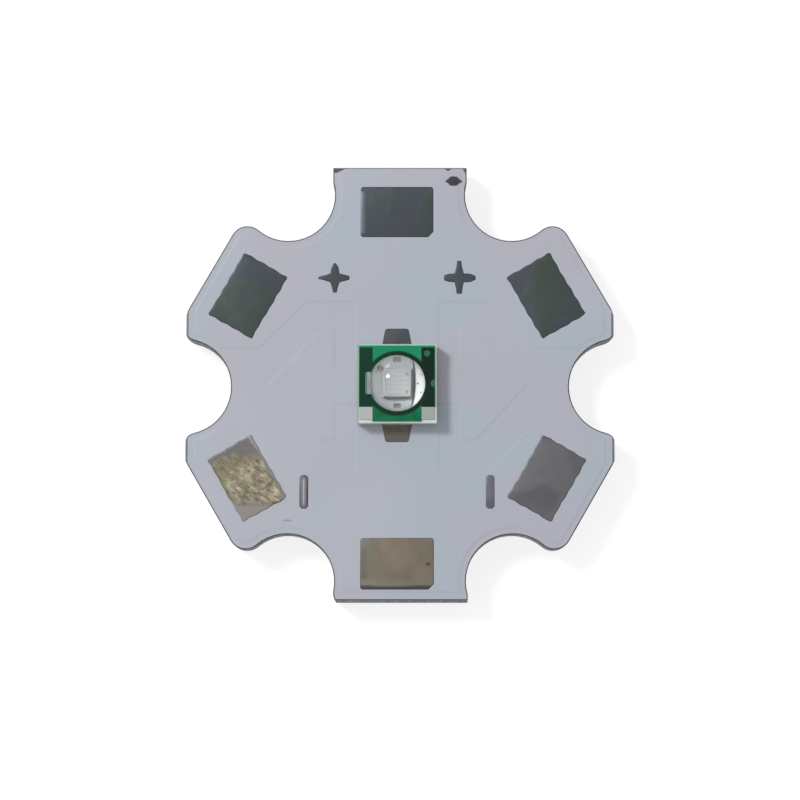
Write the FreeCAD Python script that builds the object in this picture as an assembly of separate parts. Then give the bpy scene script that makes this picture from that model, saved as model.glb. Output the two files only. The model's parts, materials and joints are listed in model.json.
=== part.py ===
# High-power ultraviolet LED soldered to a six-tabbed aluminium-core board.
# Millimetres. +Z points out of the lens, +Y towards the tab between the two plus marks,
# and the origin is the centre of the board's flat back.
import FreeCAD
import Part
import math
import os

from FreeCAD import Vector

# Board outline: a star punched in a panel, then snapped off along four scored lines
tab_count = 6
scored_width = 18.8
scored_length = 19.2
score_depth = 0.45
score_inset = 0.14
roll_radius = 0.25
tab_corner_radius = 0.75
notch_radius = 2.05
side_notch_radius = 2.08

# How far the punched tabs reach past the scored lines, how far the notches' centres lie outside or
# inside the tabs' flats, and how much wider than its neck an end tab is on each side
flat_overhang = 0.15
top_tab_overhang = 0.7
notch_overhang = 0.075
side_notch_inset = 0.275
tab_flare = 0.08

# How far the scored rectangle and the print lie off the middle of the punched star, and how far
# the footprint of the package lies off the middle of the print
score_offset_y = 0.2
print_offset_x = -0.13
footprint_offset_y = 0.06

# Board layers, counted from the back
base_thickness = 1.5
dielectric_thickness = 0.1
copper_thickness = 0.035
mask_thickness = 0.03
mask_setback = 0.05
mask_ramp = 0.2
tin_thickness = 0.022

# Wire pads: one at each end of the board and four slanted ones, set in from the scored lines
end_pad_inset = 1.86
slanted_pad_inset = 2.86
pad_row_pitch = 3.72
slant = 60.0
pad_length = 3.2
pad_width = 2.24
pad_corner_cut = 0.08
wide_corner_cut = 0.24
screen_step_pitch = 0.3
screen_step_depth = 0.05
screen_step_shares = (0.0, 0.9, 0.4, 1.0, 0.2, 0.6, 0.0, 0.8)

# Copper of each side: three tabs, the web between them and the feed to the package
web_edge = 3.75
web_shoulder = 4.0
side_web_x = 6.1
side_web_edge = 1.7
feed_margin = 0.1
copper_lap = 0.05
copper_setback = 0.35

# Heat-spreading copper: a bar under the package with an arrowhead at each end
arrow_neck = 2.8
arrow_shoulder = 3.4
arrow_tip = 5.6
arrow_height = 4.7

# Plus marks, bare tinned copper, set in from the slanted pads. Each arm, from the right one round to
# the lower one, has a reach, a width two thirds of the way out and a width at its tip, all as shares
# of the longest reach.
plus_mark_inset = 3.81
plus_mark_y = 4.81
plus_arm_length = 0.76
plus_throat = 0.2
plus_shoulder_share = 0.68
left_plus_arms = ((0.84, 0.37, 0.21), (0.86, 0.43, 0.11), (0.96, 0.26, 0.13), (0.86, 0.33, 0.2))
right_plus_arms = ((0.95, 0.49, 0.22), (1.0, 0.32, 0.24), (0.88, 0.47, 0.3), (0.93, 0.37, 0.3))

# Minus marks, bare tinned copper, set in from the slanted pads
minus_mark_inset = 2.48
minus_mark_y = -4.61
minus_mark_length = 1.46
minus_mark_width = 0.38
minus_mark_corner = 0.1

# Mask chipped away beside the scored edge of the top tab
left_chip_width = 0.5
left_chip_depth = 0.16
right_chip_width = 0.16
right_chip_depth = 0.34
middle_chip_width = 0.3
middle_chip_depth = 0.09
middle_chip_x = 2.12

# Package body and the three contacts under it
package_width = 3.45
ceramic_thickness = 0.65
contact_inset = 0.075
contact_width = 0.55
thermal_contact_width = 1.3
contact_thickness = 0.05
solder_thickness = 0.06
via_radius = 0.1

# Bare tongues of the footprint that show above and below the package
tongue_width = 1.32
tongue_tip_width = 1.02
tongue_out = 0.775
tongue_corner_radius = 0.14
solder_fillet_run = 0.2
window_margin = 0.04

# Metal on top of the ceramic
trace_thickness = 0.04
trace_edge_gap = 0.09
trace_end_gap = 0.15
trace_width = 0.58
ring_margin = 0.19
die_pad_margin = 0.05
trace_gap = 0.08
slot_length = 1.1
slot_width = 0.06
slot_gap = 0.35
key_width = 0.24
key_depth = 0.2
key_gap = 0.2
polarity_dot_radius = 0.14
polarity_dot_inset = 0.415
side_key_radius = 0.17

# Green mask of the package
package_mask_thickness = 0.065
package_mask_inset = 0.07
corner_window_x = 0.66
corner_window_y = 0.7
lens_overlap = 0.08

# Emitter chip, protection diode and bond wires
die_width = 0.9
die_thickness = 0.15
die_attach_margin = 0.025
die_attach_thickness = 0.02
finger_width = 0.024
finger_thickness = 0.01
finger_margin = 0.08
finger_count = 6
bond_pad_width = 0.12
diode_width = 0.2
diode_thickness = 0.11
diode_gap = 0.07
diode_y = 0.52
wire_radius = 0.016
wire_sides = 6
ball_radius = 0.034
ball_height = 0.03
stitch_length = 0.08
wire_landing = 0.21
die_wire_rise = 0.16
diode_wire_end_y = 0.64
diode_wire_rise = 0.22

# Silicone lens
lens_radius = 1.23
lens_skirt = 0.03
lens_tab_reach = 1.375
lens_tab_width = 0.98
lens_tab_thickness = 0.12
lens_tab_corner = 0.14

# Heights worked out from the layers
dielectric_z = base_thickness
copper_z = dielectric_z + dielectric_thickness
tin_z = copper_z + copper_thickness
board_top = tin_z + mask_thickness
contact_z = tin_z + solder_thickness
ceramic_z = contact_z + contact_thickness
trace_z = ceramic_z + ceramic_thickness
die_attach_z = trace_z + trace_thickness
die_z = die_attach_z + die_attach_thickness
finger_z = die_z + die_thickness
lens_z = trace_z + package_mask_thickness

# Places worked out from the sizes
tab_step = 360.0 / tab_count
star_flats = scored_length + 2 * flat_overhang
notch_reach = star_flats / 2 + notch_overhang
side_notch_reach = star_flats / 2 - side_notch_inset
end_tab_edge = notch_reach * math.sin(math.radians(tab_step / 2)) - notch_radius + tab_flare
top_tab_reach = scored_length / 2 + top_tab_overhang
top_edge = score_offset_y + scored_length / 2 - score_inset
square_corners = ((90, 1), (90, -1), (270, 1))
end_pad_y = scored_length / 2 - end_pad_inset
slanted_pad_x = scored_width / 2 - slanted_pad_inset
slanted_pad_y = end_pad_y - pad_row_pitch
plus_mark_x = slanted_pad_x - plus_mark_inset
minus_mark_x = slanted_pad_x - minus_mark_inset
contact_length = package_width - 2 * contact_inset
contact_y = package_width / 2 - contact_inset - contact_width / 2
feed_width = contact_length + 2 * feed_margin
thermal_bar_width = thermal_contact_width + 2 * window_margin + 2 * copper_lap
feed_edge = contact_y - contact_width / 2 - window_margin - copper_lap
trace_x = package_width / 2 - trace_edge_gap - trace_width / 2
trace_length = package_width - 2 * trace_end_gap
ring_radius = lens_radius + ring_margin
lens_window_radius = lens_radius - lens_overlap
die_pad_edge = die_width / 2 + die_pad_margin
cathode_edge = die_pad_edge + trace_gap
finger_reach = die_width / 2 - finger_margin
finger_spacing = 2 * finger_reach / (finger_count - 1)
bond_pad_x = finger_reach + finger_width / 2 - bond_pad_width / 2
bond_pad_y = finger_spacing * (finger_count / 2 - 1)
up = Vector(0, 0, 1)
centre = Vector(0, 0, 0)


# Outline helpers

def polar(radius, angle):
    """Point at a radius and an angle in degrees from +X."""
    turn = math.radians(angle)
    return Vector(radius * math.cos(turn), radius * math.sin(turn), 0)


def polygon(points):
    """Face inside a closed run of straight lines."""
    corners = [Vector(point[0], point[1], 0) for point in points]
    return Part.Face(Part.makePolygon(corners + corners[:1]))


def rectangle(length, width, x=0.0, y=0.0):
    """Face of a rectangle, its length along X."""
    left, low = x - length / 2, y - width / 2
    return polygon([(left, low), (left + length, low), (left + length, low + width), (left, low + width)])


def disc(radius, x=0.0, y=0.0):
    """Face of a circle."""
    return Part.Face(Part.Wire(Part.makeCircle(radius, Vector(x, y, 0))))


def cut_bar(length, width, cut):
    """Face of a bar along X with its four corners cut off."""
    end, edge = length / 2, width / 2
    right = [(end - cut, -edge), (end, cut - edge), (end, edge - cut), (end - cut, edge)]
    left = [(-x, -y) for x, y in right]
    return polygon(right + left)


def many_sided(middle, across, upward, radius):
    """Face of a regular polygon round a point, in the plane of two directions."""
    turns = [math.radians(360 * side / wire_sides) for side in range(wire_sides)]
    corners = [middle + across * (radius * math.cos(turn)) + upward * (radius * math.sin(turn)) for turn in turns]
    return Part.Face(Part.makePolygon(corners + corners[:1]))


def turned(shape, angle):
    """Copy turned about the board's axis."""
    copy = shape.copy()
    copy.rotate(centre, up, angle)
    return copy


def moved(shape, x, y, z=0.0):
    """Copy moved by x, y and z."""
    copy = shape.copy()
    copy.translate(Vector(x, y, z))
    return copy


def printed(shape):
    """Copy in the place that the print gives it on the punched board."""
    return moved(shape, print_offset_x, 0)


def at_footprint(shape):
    """Copy in the place of the package's footprint."""
    return moved(printed(shape), 0, footprint_offset_y)


def joined(shapes):
    """One shape from several that touch or overlap."""
    first, rest = shapes[0], shapes[1:]
    whole = first.fuse(rest) if rest else first
    return whole.removeSplitter()


def prism(face, z, height):
    """Solid that stands on a face moved up to z."""
    return moved(face, 0, 0, z).extrude(Vector(0, 0, height))


def underside(solid):
    """Flat face that a solid stands on, turned to face up."""
    low = min(solid.Faces, key=lambda face: face.CenterOfMass.z)
    return low.reversed()


def joined_face(faces):
    """One flat face from several that overlap."""
    return underside(joined([prism(face, 0, 1) for face in faces]))


def rounded(solid, radius):
    """Solid with its upright edges rounded."""
    upright = [e for e in solid.Edges if abs(e.tangentAt(e.FirstParameter).z) > 0.99]
    return solid.makeFillet(radius, upright)


def ramped(face, ramp, z, height):
    """Solid on a face whose sides lean in by ramp from the foot to the top."""
    foot = moved(face.makeOffset2D(ramp, join=2), 0, 0, z)
    top = moved(face, 0, 0, z + height)
    return Part.makeLoft([foot.OuterWire, top.OuterWire], True, True)


# Board

def notch(angle, inset):
    """Centre and radius of the notch at an angle. The two on the X axis are wider and deeper."""
    if abs(math.sin(math.radians(angle))) < 0.1:
        return polar(side_notch_reach, angle), side_notch_radius + inset
    return polar(notch_reach, angle), notch_radius + inset


def tab_side(angle, side, inset):
    """One side of a tab: its point on the flat, its point on the notch and the edge between them."""
    notch_centre, notch_size = notch(angle + side * tab_step / 2, inset)
    outward, sideways = polar(1, angle), polar(side, angle + 90)
    notch_out, notch_side = notch_centre.dot(outward), notch_centre.dot(sideways)
    if (round(angle) % 360, side) in square_corners:
        side_line = end_tab_edge - inset
        reach = top_tab_reach if outward.y > 0 else star_flats / 2 - inset
        meet_out = notch_out + math.sqrt(notch_size ** 2 - (notch_side - side_line) ** 2)
        flat = outward * reach + sideways * side_line
        meet = outward * meet_out + sideways * side_line
        return flat, meet, Part.makeLine(flat, meet)
    corner = tab_corner_radius - inset
    corner_out = star_flats / 2 - inset - corner
    corner_side = notch_side - math.sqrt((notch_size + corner) ** 2 - (notch_out - corner_out) ** 2)
    corner_centre = outward * corner_out + sideways * corner_side
    to_notch = (notch_centre - corner_centre).normalize()
    flat, meet = corner_centre + outward * corner, corner_centre + to_notch * corner
    middle = corner_centre + (to_notch + outward).normalize() * corner
    return flat, meet, Part.Arc(flat, middle, meet).toShape()


def star_face(inset):
    """Punched outline of the panel's star, drawn in by an inset all round."""
    edges = []
    for tab in range(tab_count):
        angle = (tab + 0.5) * tab_step
        flat_start = tab_side(angle, -1, inset)[0]
        flat_end, meet, side_edge = tab_side(angle, 1, inset)
        next_meet, next_edge = tab_side(angle + tab_step, -1, inset)[1:]
        notch_centre, notch_size = notch(angle + tab_step / 2, inset)
        notch_floor = notch_centre - polar(notch_size, angle + tab_step / 2)
        notch_edge = Part.Arc(meet, notch_floor, next_meet).toShape()
        edges += [Part.makeLine(flat_start, flat_end), side_edge, notch_edge, next_edge]
    return Part.Face(Part.Wire(edges))


def scored_block():
    """The space between the scored lines, narrower at the back and top where the score is cut."""
    def slab(half, reach):
        """Scored section of half a width, as long as reach each way along X."""
        inner = half - score_inset
        low, high = score_depth, board_top - score_depth
        section = [(-inner, 0), (inner, 0), (half, low), (half, high),
                   (inner, board_top), (-inner, board_top), (-half, high), (-half, low)]
        corners = [Vector(-reach, y, z) for y, z in section]
        return Part.Face(Part.makePolygon(corners + corners[:1])).extrude(Vector(2 * reach, 0, 0))

    along = slab(scored_length / 2, star_flats)
    across = turned(slab(scored_width / 2, star_flats), 90)
    return moved(along.common(across), 0, score_offset_y)


def aluminium_base(block):
    """Aluminium plate: punched, so its back edge is rolled over, then scored on four sides."""
    plate = prism(star_face(0), 0, base_thickness)
    back_edges = [e for e in plate.Edges if e.BoundBox.ZMax < roll_radius / 2]
    return plate.makeChamfer(roll_radius, back_edges).common(block)


def pad_blank(ragged):
    """Mask window over a wire pad with its corners cut. The printing screen leaves some with ragged sides."""
    half_length, half_width = pad_length / 2, pad_width / 2
    sides = [(half_length, half_width, 0), (half_width, half_length, 90),
             (half_length, half_width, 180), (half_width, half_length, 270)]
    corners = []
    for half_run, offset, turn in sides:
        begin_cut = wide_corner_cut if turn == 90 and not ragged else pad_corner_cut
        end_cut = wide_corner_cut if turn == 0 and not ragged else pad_corner_cut
        begin, end = begin_cut - half_run, half_run - end_cut
        steps = round((end - begin) / screen_step_pitch) if ragged else 1
        turn_angle = math.radians(turn)
        for step in range(steps + 1):
            share = screen_step_shares[(step + turn // 45) % len(screen_step_shares)] if ragged else 0
            x, y = begin + (end - begin) * step / steps, share * screen_step_depth - offset
            corners.append((x * math.cos(turn_angle) - y * math.sin(turn_angle),
                            x * math.sin(turn_angle) + y * math.cos(turn_angle)))
    return polygon(corners)


def slanted_pad_face(side_x, side_y):
    """Window of the slanted pad in one quarter of the board."""
    leaning = turned(pad_blank(True), -side_x * side_y * slant)
    return moved(leaning, side_x * slanted_pad_x, side_y * slanted_pad_y)


def end_pad_face(side_y):
    """Window of the pad at one end of the board."""
    return moved(pad_blank(False), 0, side_y * end_pad_y)


def side_copper_face(turn):
    """Copper of one side of the circuit, which follows the outline of its three tabs."""
    right_side = [(feed_width / 2, feed_edge), (feed_width / 2, web_edge), (web_shoulder, web_edge),
                  (side_web_x, side_web_edge), (star_flats, side_web_edge), (star_flats, star_flats)]
    left_side = [(-x, y) for x, y in reversed(right_side)]
    laid = at_footprint(turned(polygon(right_side + left_side), turn))
    margin = 2 * (score_inset + copper_setback)
    within = rectangle(scored_width - margin, scored_length - margin, 0, score_offset_y)
    return laid.common(star_face(copper_setback)).common(within).Faces[0]


def thermal_copper_face():
    """Heat spreader: the bar under the package and its two arrowheads."""
    bar, arrow = thermal_bar_width / 2, arrow_height / 2
    right = [(arrow_neck, -bar), (arrow_neck, -arrow), (arrow_shoulder, -arrow), (arrow_tip, 0),
             (arrow_shoulder, arrow), (arrow_neck, arrow), (arrow_neck, bar)]
    left = [(-x, -y) for x, y in right]
    return polygon(right + left)


def plus_mark_face(side, arms):
    """Plus sign beside the upper pads, its arms swollen and tapered by the printing."""
    corners = []
    for quarter, shares in enumerate(arms):
        reach, shoulder, tip = [share * plus_arm_length for share in shares]
        along, across = polar(1, 90 * quarter), polar(1, 90 * (quarter + 1))
        out = plus_shoulder_share * reach
        for far, wide in ((out, -shoulder / 2), (reach, -tip / 2), (reach, tip / 2), (out, shoulder / 2),
                          (plus_throat, plus_throat)):
            corners.append(along * far + across * wide)
    return moved(polygon(corners), side * plus_mark_x, plus_mark_y)


def minus_mark_face(side):
    """Minus sign beside the lower pads, set upright."""
    bar = cut_bar(minus_mark_length, minus_mark_width, minus_mark_corner)
    return moved(turned(bar, 90), side * minus_mark_x, minus_mark_y)


def tongue_face():
    """Bare tongue of the footprint above the package, with rounded tip corners."""
    edge = package_width / 2
    reach = edge + tongue_out
    outline = polygon([(-tongue_width / 2, contact_y), (tongue_width / 2, contact_y), (tongue_width / 2, edge),
                       (tongue_tip_width / 2, reach), (-tongue_tip_width / 2, reach), (-tongue_width / 2, edge)])
    blank = prism(outline, 0, tongue_width)
    tip = [e for e in blank.Edges if e.BoundBox.YMin > reach - 1e-4 and e.BoundBox.ZLength > tongue_width / 2]
    return underside(blank.makeFillet(tongue_corner_radius, tip))


def stripe_window_face():
    """Mask window of one electrical contact: the stripe under the package and its tongue."""
    stripe = rectangle(contact_length + 2 * window_margin, contact_width + 2 * window_margin, 0, contact_y)
    return joined_face([stripe, tongue_face()])


def thermal_window_face():
    """Mask window of the thermal contact."""
    return rectangle(contact_length + 2 * window_margin, thermal_contact_width + 2 * window_margin)


def chip_faces():
    """Wedges where the mask broke away along the top tab's scored edge."""
    corner, out = end_tab_edge, top_edge + score_inset
    inner, side = left_chip_width - corner, -corner - left_chip_width
    left = [(side, out), (inner, out), (inner, top_edge),
            (left_chip_width / 3 - corner, top_edge - left_chip_depth), (side, top_edge - left_chip_depth)]
    inner, side = corner - right_chip_width, corner + right_chip_width
    right = [(side, out), (inner, out), (inner, top_edge),
             (corner, top_edge - right_chip_depth), (side, top_edge - right_chip_depth)]
    begin, end = middle_chip_x - middle_chip_width / 2, middle_chip_x + middle_chip_width / 2
    middle = [(begin, out), (begin, top_edge), (middle_chip_x, top_edge - middle_chip_depth),
              (end, top_edge), (end, out)]
    return [polygon(left), polygon(right), polygon(middle)]


def solder_mask(block, coppers, windows):
    """White mask: a thin coat over the dielectric that climbs over the copper."""
    coat = prism(star_face(mask_setback), copper_z, mask_thickness)
    raised = [ramped(face, mask_ramp, copper_z, copper_thickness + mask_thickness) for face in coppers]
    over = joined([coat] + raised).common(block)
    cuts = [prism(face, copper_z, copper_thickness) for face in coppers]
    cuts += [prism(face, copper_z, 2 * (board_top - copper_z)) for face in windows]
    return over.cut(cuts)


def electrical_solder():
    """Solder of the plus contact: the joint under the stripe, the tinned tongue and the fillet between."""
    stripe = rectangle(contact_length, contact_width, 0, contact_y)
    joint = prism(stripe, tin_z, solder_thickness)
    coat = prism(stripe_window_face(), tin_z, tin_thickness)
    edge = contact_y + contact_width / 2
    rim = tin_z + tin_thickness
    profile = [Vector(0, edge, tin_z), Vector(0, edge + solder_fillet_run, tin_z),
               Vector(0, edge + solder_fillet_run, rim), Vector(0, edge, contact_z)]
    fillet = Part.Face(Part.makePolygon(profile + profile[:1])).extrude(Vector(tongue_tip_width, 0, 0))
    return joined([joint, coat, moved(fillet, -tongue_tip_width / 2, 0)])


def thermal_solder():
    """Solder under the thermal contact, with the tin it wetted."""
    joint = prism(rectangle(contact_length, thermal_contact_width), tin_z, solder_thickness)
    return joined([joint, prism(thermal_window_face(), tin_z, tin_thickness)])


# Package

def contact_solid(width, y):
    """One plated contact under the ceramic."""
    return prism(rectangle(contact_length, width, 0, y), contact_z, contact_thickness)


def via_solid(x, y):
    """Plated post through the ceramic."""
    return prism(disc(via_radius, x, y), ceramic_z, ceramic_thickness)


def ring_part(left, right):
    """The part of the metal disc between two upright lines."""
    keep = rectangle(right - left, 2 * ring_radius, (left + right) / 2, 0)
    return disc(ring_radius).common(keep).Faces[0]


def anode_trace_face():
    """Metal on the left of the package: side trace and the part of the disc that carries the die."""
    side = rectangle(trace_width, trace_length, -trace_x, 0)
    key = rectangle(key_width, key_depth, 0, die_width / 2 + key_gap + key_depth / 2)
    slot = rectangle(slot_width, slot_length, -die_width / 2 - slot_gap - slot_width / 2, 0)
    metal = joined_face([side, ring_part(-ring_radius, die_pad_edge)])
    return metal.cut([key, turned(key, 180), slot]).Faces[0]


def cathode_trace_face():
    """Metal on the right of the package, with a clear dot and a side key in its trace."""
    side = rectangle(trace_width, trace_length, trace_x, 0)
    dot_place = package_width / 2 - polarity_dot_inset
    dot = disc(polarity_dot_radius, dot_place, dot_place)
    key = disc(side_key_radius, trace_x + trace_width / 2, 0)
    return joined_face([side, ring_part(cathode_edge, ring_radius)]).cut([dot, key]).Faces[0]


def package_mask_face():
    """Green mask seen from above: bare at the two lower corners and under the lens."""
    width = package_width - 2 * package_mask_inset
    corner = package_width / 2
    x, y = corner - corner_window_x / 2, corner_window_y / 2 - corner
    windows = [rectangle(corner_window_x, corner_window_y, side * x, y) for side in (-1, 1)]
    return rectangle(width, width).cut(windows + [disc(lens_window_radius)])


def package_mask(traces):
    """Green mask: level on top, with the metal let into its underside."""
    return prism(package_mask_face(), trace_z, package_mask_thickness).cut(traces)


def die_fingers():
    """Current-spreading metal on the die: a bar down its left side, three hairpins and two bond pads."""
    rows = [row * finger_spacing - finger_reach for row in range(finger_count)]
    bar = rectangle(finger_width, 2 * finger_reach + finger_width, -finger_reach, 0)
    legs = [rectangle(2 * finger_reach, finger_width, 0, y) for y in rows]
    ends = [rectangle(finger_width, finger_spacing + finger_width, finger_reach, y + finger_spacing / 2)
            for y in rows[::2]]
    pads = [rectangle(bond_pad_width, bond_pad_width, bond_pad_x, side * bond_pad_y) for side in (-1, 1)]
    return joined([prism(face, finger_z, finger_thickness) for face in [bar] + legs + ends + pads])


def bond_wire(start, end, rise):
    """Gold wire from a ball on start to a wedge on end, in one arc that peaks above the straight line."""
    ball = many_sided(start, Vector(1, 0, 0), Vector(0, 1, 0), ball_radius).extrude(Vector(0, 0, ball_height))
    half_flat = wire_radius * math.cos(math.pi / wire_sides)
    take_off = start + Vector(0, 0, ball_height / 2)
    landing = end + Vector(0, 0, half_flat)
    peak = (take_off + landing) * 0.5
    peak.z = max(take_off.z, landing.z) + rise
    path = Part.Arc(take_off, peak, landing).toShape()
    circle = path.Curve
    section = many_sided(take_off, (take_off - circle.Center).normalize(), circle.Axis, wire_radius)
    loop = section.revolve(circle.Center, circle.Axis, math.degrees(path.Length / circle.Radius))
    along = Vector(end.x - start.x, end.y - start.y, 0).normalize()
    wedge = many_sided(landing - along * wire_radius, up.cross(along), up, wire_radius)
    return joined([loop, ball, wedge.extrude(along * stitch_length)])


def lens(inside):
    """Silicone dome with a short skirt and a moulding tab, filled down round all that it covers."""
    quarter = Part.Face(Part.Wire([
        Part.makeLine(Vector(0, 0, 0), Vector(lens_radius, 0, 0)),
        Part.makeLine(Vector(lens_radius, 0, 0), Vector(lens_radius, 0, lens_skirt)),
        Part.Arc(Vector(lens_radius, 0, lens_skirt), dome_point(45), dome_point(90)).toShape(),
        Part.makeLine(dome_point(90), Vector(0, 0, 0)),
    ]))
    dome = moved(quarter.revolve(centre, up, 360), 0, 0, lens_z)
    plug = prism(disc(lens_window_radius), trace_z, lens_z - trace_z)
    half, corner = lens_tab_width / 2, lens_tab_corner
    tab = polygon([(0, -half), (corner - lens_tab_reach, -half), (-lens_tab_reach, corner - half),
                   (-lens_tab_reach, half - corner), (corner - lens_tab_reach, half), (0, half)])
    return joined([dome, plug, prism(tab, lens_z, lens_tab_thickness)]).cut(inside)


def dome_point(angle):
    """Point on the dome's section at an angle above its base."""
    turn = math.radians(angle)
    return Vector(lens_radius * math.cos(turn), 0, lens_skirt + lens_radius * math.sin(turn))


# Assembly

def board_parts():
    """Every piece of the board, by name."""
    block = scored_block()
    plus_face = side_copper_face(0)
    minus_face = side_copper_face(180)
    thermal_face = at_footprint(thermal_copper_face())
    tinned = {
        "top_pad_tin": end_pad_face(1),
        "bottom_pad_tin": end_pad_face(-1),
        "upper_right_pad_tin": slanted_pad_face(1, 1),
        "upper_left_pad_tin": slanted_pad_face(-1, 1),
        "lower_left_pad_tin": slanted_pad_face(-1, -1),
        "lower_right_pad_tin": slanted_pad_face(1, -1),
        "plus_mark_left": plus_mark_face(-1, left_plus_arms),
        "plus_mark_right": plus_mark_face(1, right_plus_arms),
        "minus_mark_left": minus_mark_face(-1),
        "minus_mark_right": minus_mark_face(1),
    }
    tinned = {name: printed(face) for name, face in tinned.items()}
    stripe_window = stripe_window_face()
    footprint = (stripe_window, turned(stripe_window, 180), thermal_window_face())
    windows = [at_footprint(face) for face in footprint]
    windows += list(tinned.values()) + chip_faces()
    parts = {
        "aluminium_base": aluminium_base(block),
        "dielectric_layer": prism(star_face(0), dielectric_z, dielectric_thickness).common(block),
        "plus_copper": prism(plus_face, copper_z, copper_thickness),
        "minus_copper": prism(minus_face, copper_z, copper_thickness),
        "thermal_copper": prism(thermal_face, copper_z, copper_thickness),
        "solder_mask": solder_mask(block, [plus_face, minus_face, thermal_face], windows),
        "plus_solder_joint": at_footprint(electrical_solder()),
        "minus_solder_joint": at_footprint(turned(electrical_solder(), 180)),
        "thermal_solder_joint": at_footprint(thermal_solder()),
    }
    parts.update({name: prism(face, tin_z, tin_thickness) for name, face in tinned.items()})
    return parts


def package_parts():
    """Every piece of the LED package, by name."""
    anode_via = via_solid(-trace_x, contact_y)
    cathode_via = via_solid(trace_x, -contact_y)
    body = Part.makeBox(package_width, package_width, ceramic_thickness,
                        Vector(-package_width / 2, -package_width / 2, ceramic_z))
    anode_trace = prism(anode_trace_face(), trace_z, trace_thickness)
    cathode_trace = prism(cathode_trace_face(), trace_z, trace_thickness)
    attach_width = die_width + 2 * die_attach_margin
    diode_x = -die_width / 2 - diode_gap - diode_width / 2
    diode = prism(rectangle(diode_width, diode_width, diode_x, diode_y), die_attach_z, diode_thickness)
    landing_x = cathode_edge + wire_landing
    wires = {}
    for name, side in (("upper_bond_wire", 1), ("lower_bond_wire", -1)):
        wires[name] = bond_wire(Vector(bond_pad_x, side * bond_pad_y, finger_z + finger_thickness),
                                Vector(landing_x, side * bond_pad_y, die_attach_z), die_wire_rise)
    wires["diode_wire"] = bond_wire(Vector(diode_x, diode_y, die_attach_z + diode_thickness),
                                    Vector(landing_x, diode_wire_end_y, die_attach_z), diode_wire_rise)
    parts = {
        "ceramic_substrate": body.cut([anode_via, cathode_via]),
        "anode_contact": contact_solid(contact_width, contact_y),
        "cathode_contact": contact_solid(contact_width, -contact_y),
        "thermal_contact": contact_solid(thermal_contact_width, 0),
        "anode_via": anode_via,
        "cathode_via": cathode_via,
        "anode_trace": anode_trace,
        "cathode_trace": cathode_trace,
        "package_mask": package_mask([anode_trace, cathode_trace]),
        "die_attach": prism(rectangle(attach_width, attach_width), die_attach_z, die_attach_thickness),
        "led_die": prism(rectangle(die_width, die_width), die_z, die_thickness),
        "die_fingers": die_fingers(),
        "protection_diode": diode,
        **wires,
    }
    covered = ["anode_trace", "cathode_trace", "die_attach", "led_die", "die_fingers", "protection_diode"]
    parts["lens"] = lens([parts[name] for name in covered + list(wires)])
    return {name: at_footprint(shape) for name, shape in parts.items()}


def main():
    """Writes one STEP file for each piece, with the origin at the centre of the scored board."""
    os.makedirs("parts", exist_ok=True)
    for name, shape in {**board_parts(), **package_parts()}.items():
        moved(shape, 0, -score_offset_y).exportStep(os.path.join("parts", name + ".step"))


main()
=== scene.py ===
import contextlib
import json
import math

import bmesh
import bpy
from bpy.props import FloatProperty, FloatVectorProperty, IntProperty, PointerProperty
from bpy.types import Operator, Panel, PropertyGroup
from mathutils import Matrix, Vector

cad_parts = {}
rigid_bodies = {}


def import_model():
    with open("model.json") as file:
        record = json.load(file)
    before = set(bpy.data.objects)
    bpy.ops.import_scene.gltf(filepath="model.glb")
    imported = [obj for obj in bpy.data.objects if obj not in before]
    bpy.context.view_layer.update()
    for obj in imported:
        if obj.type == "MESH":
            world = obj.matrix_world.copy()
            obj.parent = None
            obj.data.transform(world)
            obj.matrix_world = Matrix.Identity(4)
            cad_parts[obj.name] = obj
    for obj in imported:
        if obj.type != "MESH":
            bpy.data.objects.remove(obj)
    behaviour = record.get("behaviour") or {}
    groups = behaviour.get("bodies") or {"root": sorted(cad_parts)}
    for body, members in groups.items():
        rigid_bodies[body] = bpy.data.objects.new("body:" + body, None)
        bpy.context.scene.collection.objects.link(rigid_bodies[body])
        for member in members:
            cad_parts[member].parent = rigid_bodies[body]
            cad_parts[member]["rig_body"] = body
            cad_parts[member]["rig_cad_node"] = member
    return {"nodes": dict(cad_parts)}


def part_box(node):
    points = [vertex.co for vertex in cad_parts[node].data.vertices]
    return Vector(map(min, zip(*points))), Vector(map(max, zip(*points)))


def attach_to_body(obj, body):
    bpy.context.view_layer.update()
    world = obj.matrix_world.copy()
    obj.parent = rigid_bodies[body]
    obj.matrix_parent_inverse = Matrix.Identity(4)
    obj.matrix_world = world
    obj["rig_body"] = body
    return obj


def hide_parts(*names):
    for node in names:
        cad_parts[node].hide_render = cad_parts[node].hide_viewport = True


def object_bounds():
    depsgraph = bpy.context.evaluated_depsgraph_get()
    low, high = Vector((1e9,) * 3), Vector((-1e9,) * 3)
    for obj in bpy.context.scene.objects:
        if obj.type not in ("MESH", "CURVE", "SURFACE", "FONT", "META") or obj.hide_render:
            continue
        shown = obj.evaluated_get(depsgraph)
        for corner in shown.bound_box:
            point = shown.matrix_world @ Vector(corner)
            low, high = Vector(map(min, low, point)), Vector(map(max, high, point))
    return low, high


bl_info = {
    "name": "Star-board LED",
    "version": (1, 0, 0),
    "blender": (4, 5, 0),
    "location": "3D View > Sidebar > Star LED",
    "description": "Finishes the pieces of a star-board LED and sets them in a small studio",
    "category": "Add Mesh",
}

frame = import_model()
NODES = frame["nodes"]
CAD_BOX = [list(corner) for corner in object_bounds()]

# Pieces are shaped in millimetres and brought back to metres when they are done
MM = 1000.0
MERGE_GAP = 1e-4
FLAT_ANGLE = math.radians(0.5)
SMOOTH_ANGLE = math.radians(40)

# Packed pieces stay in metres, and modifiers weld and round their edges
WELD_GAP = 1e-6
EDGE_ANGLE = math.radians(30)

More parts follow.
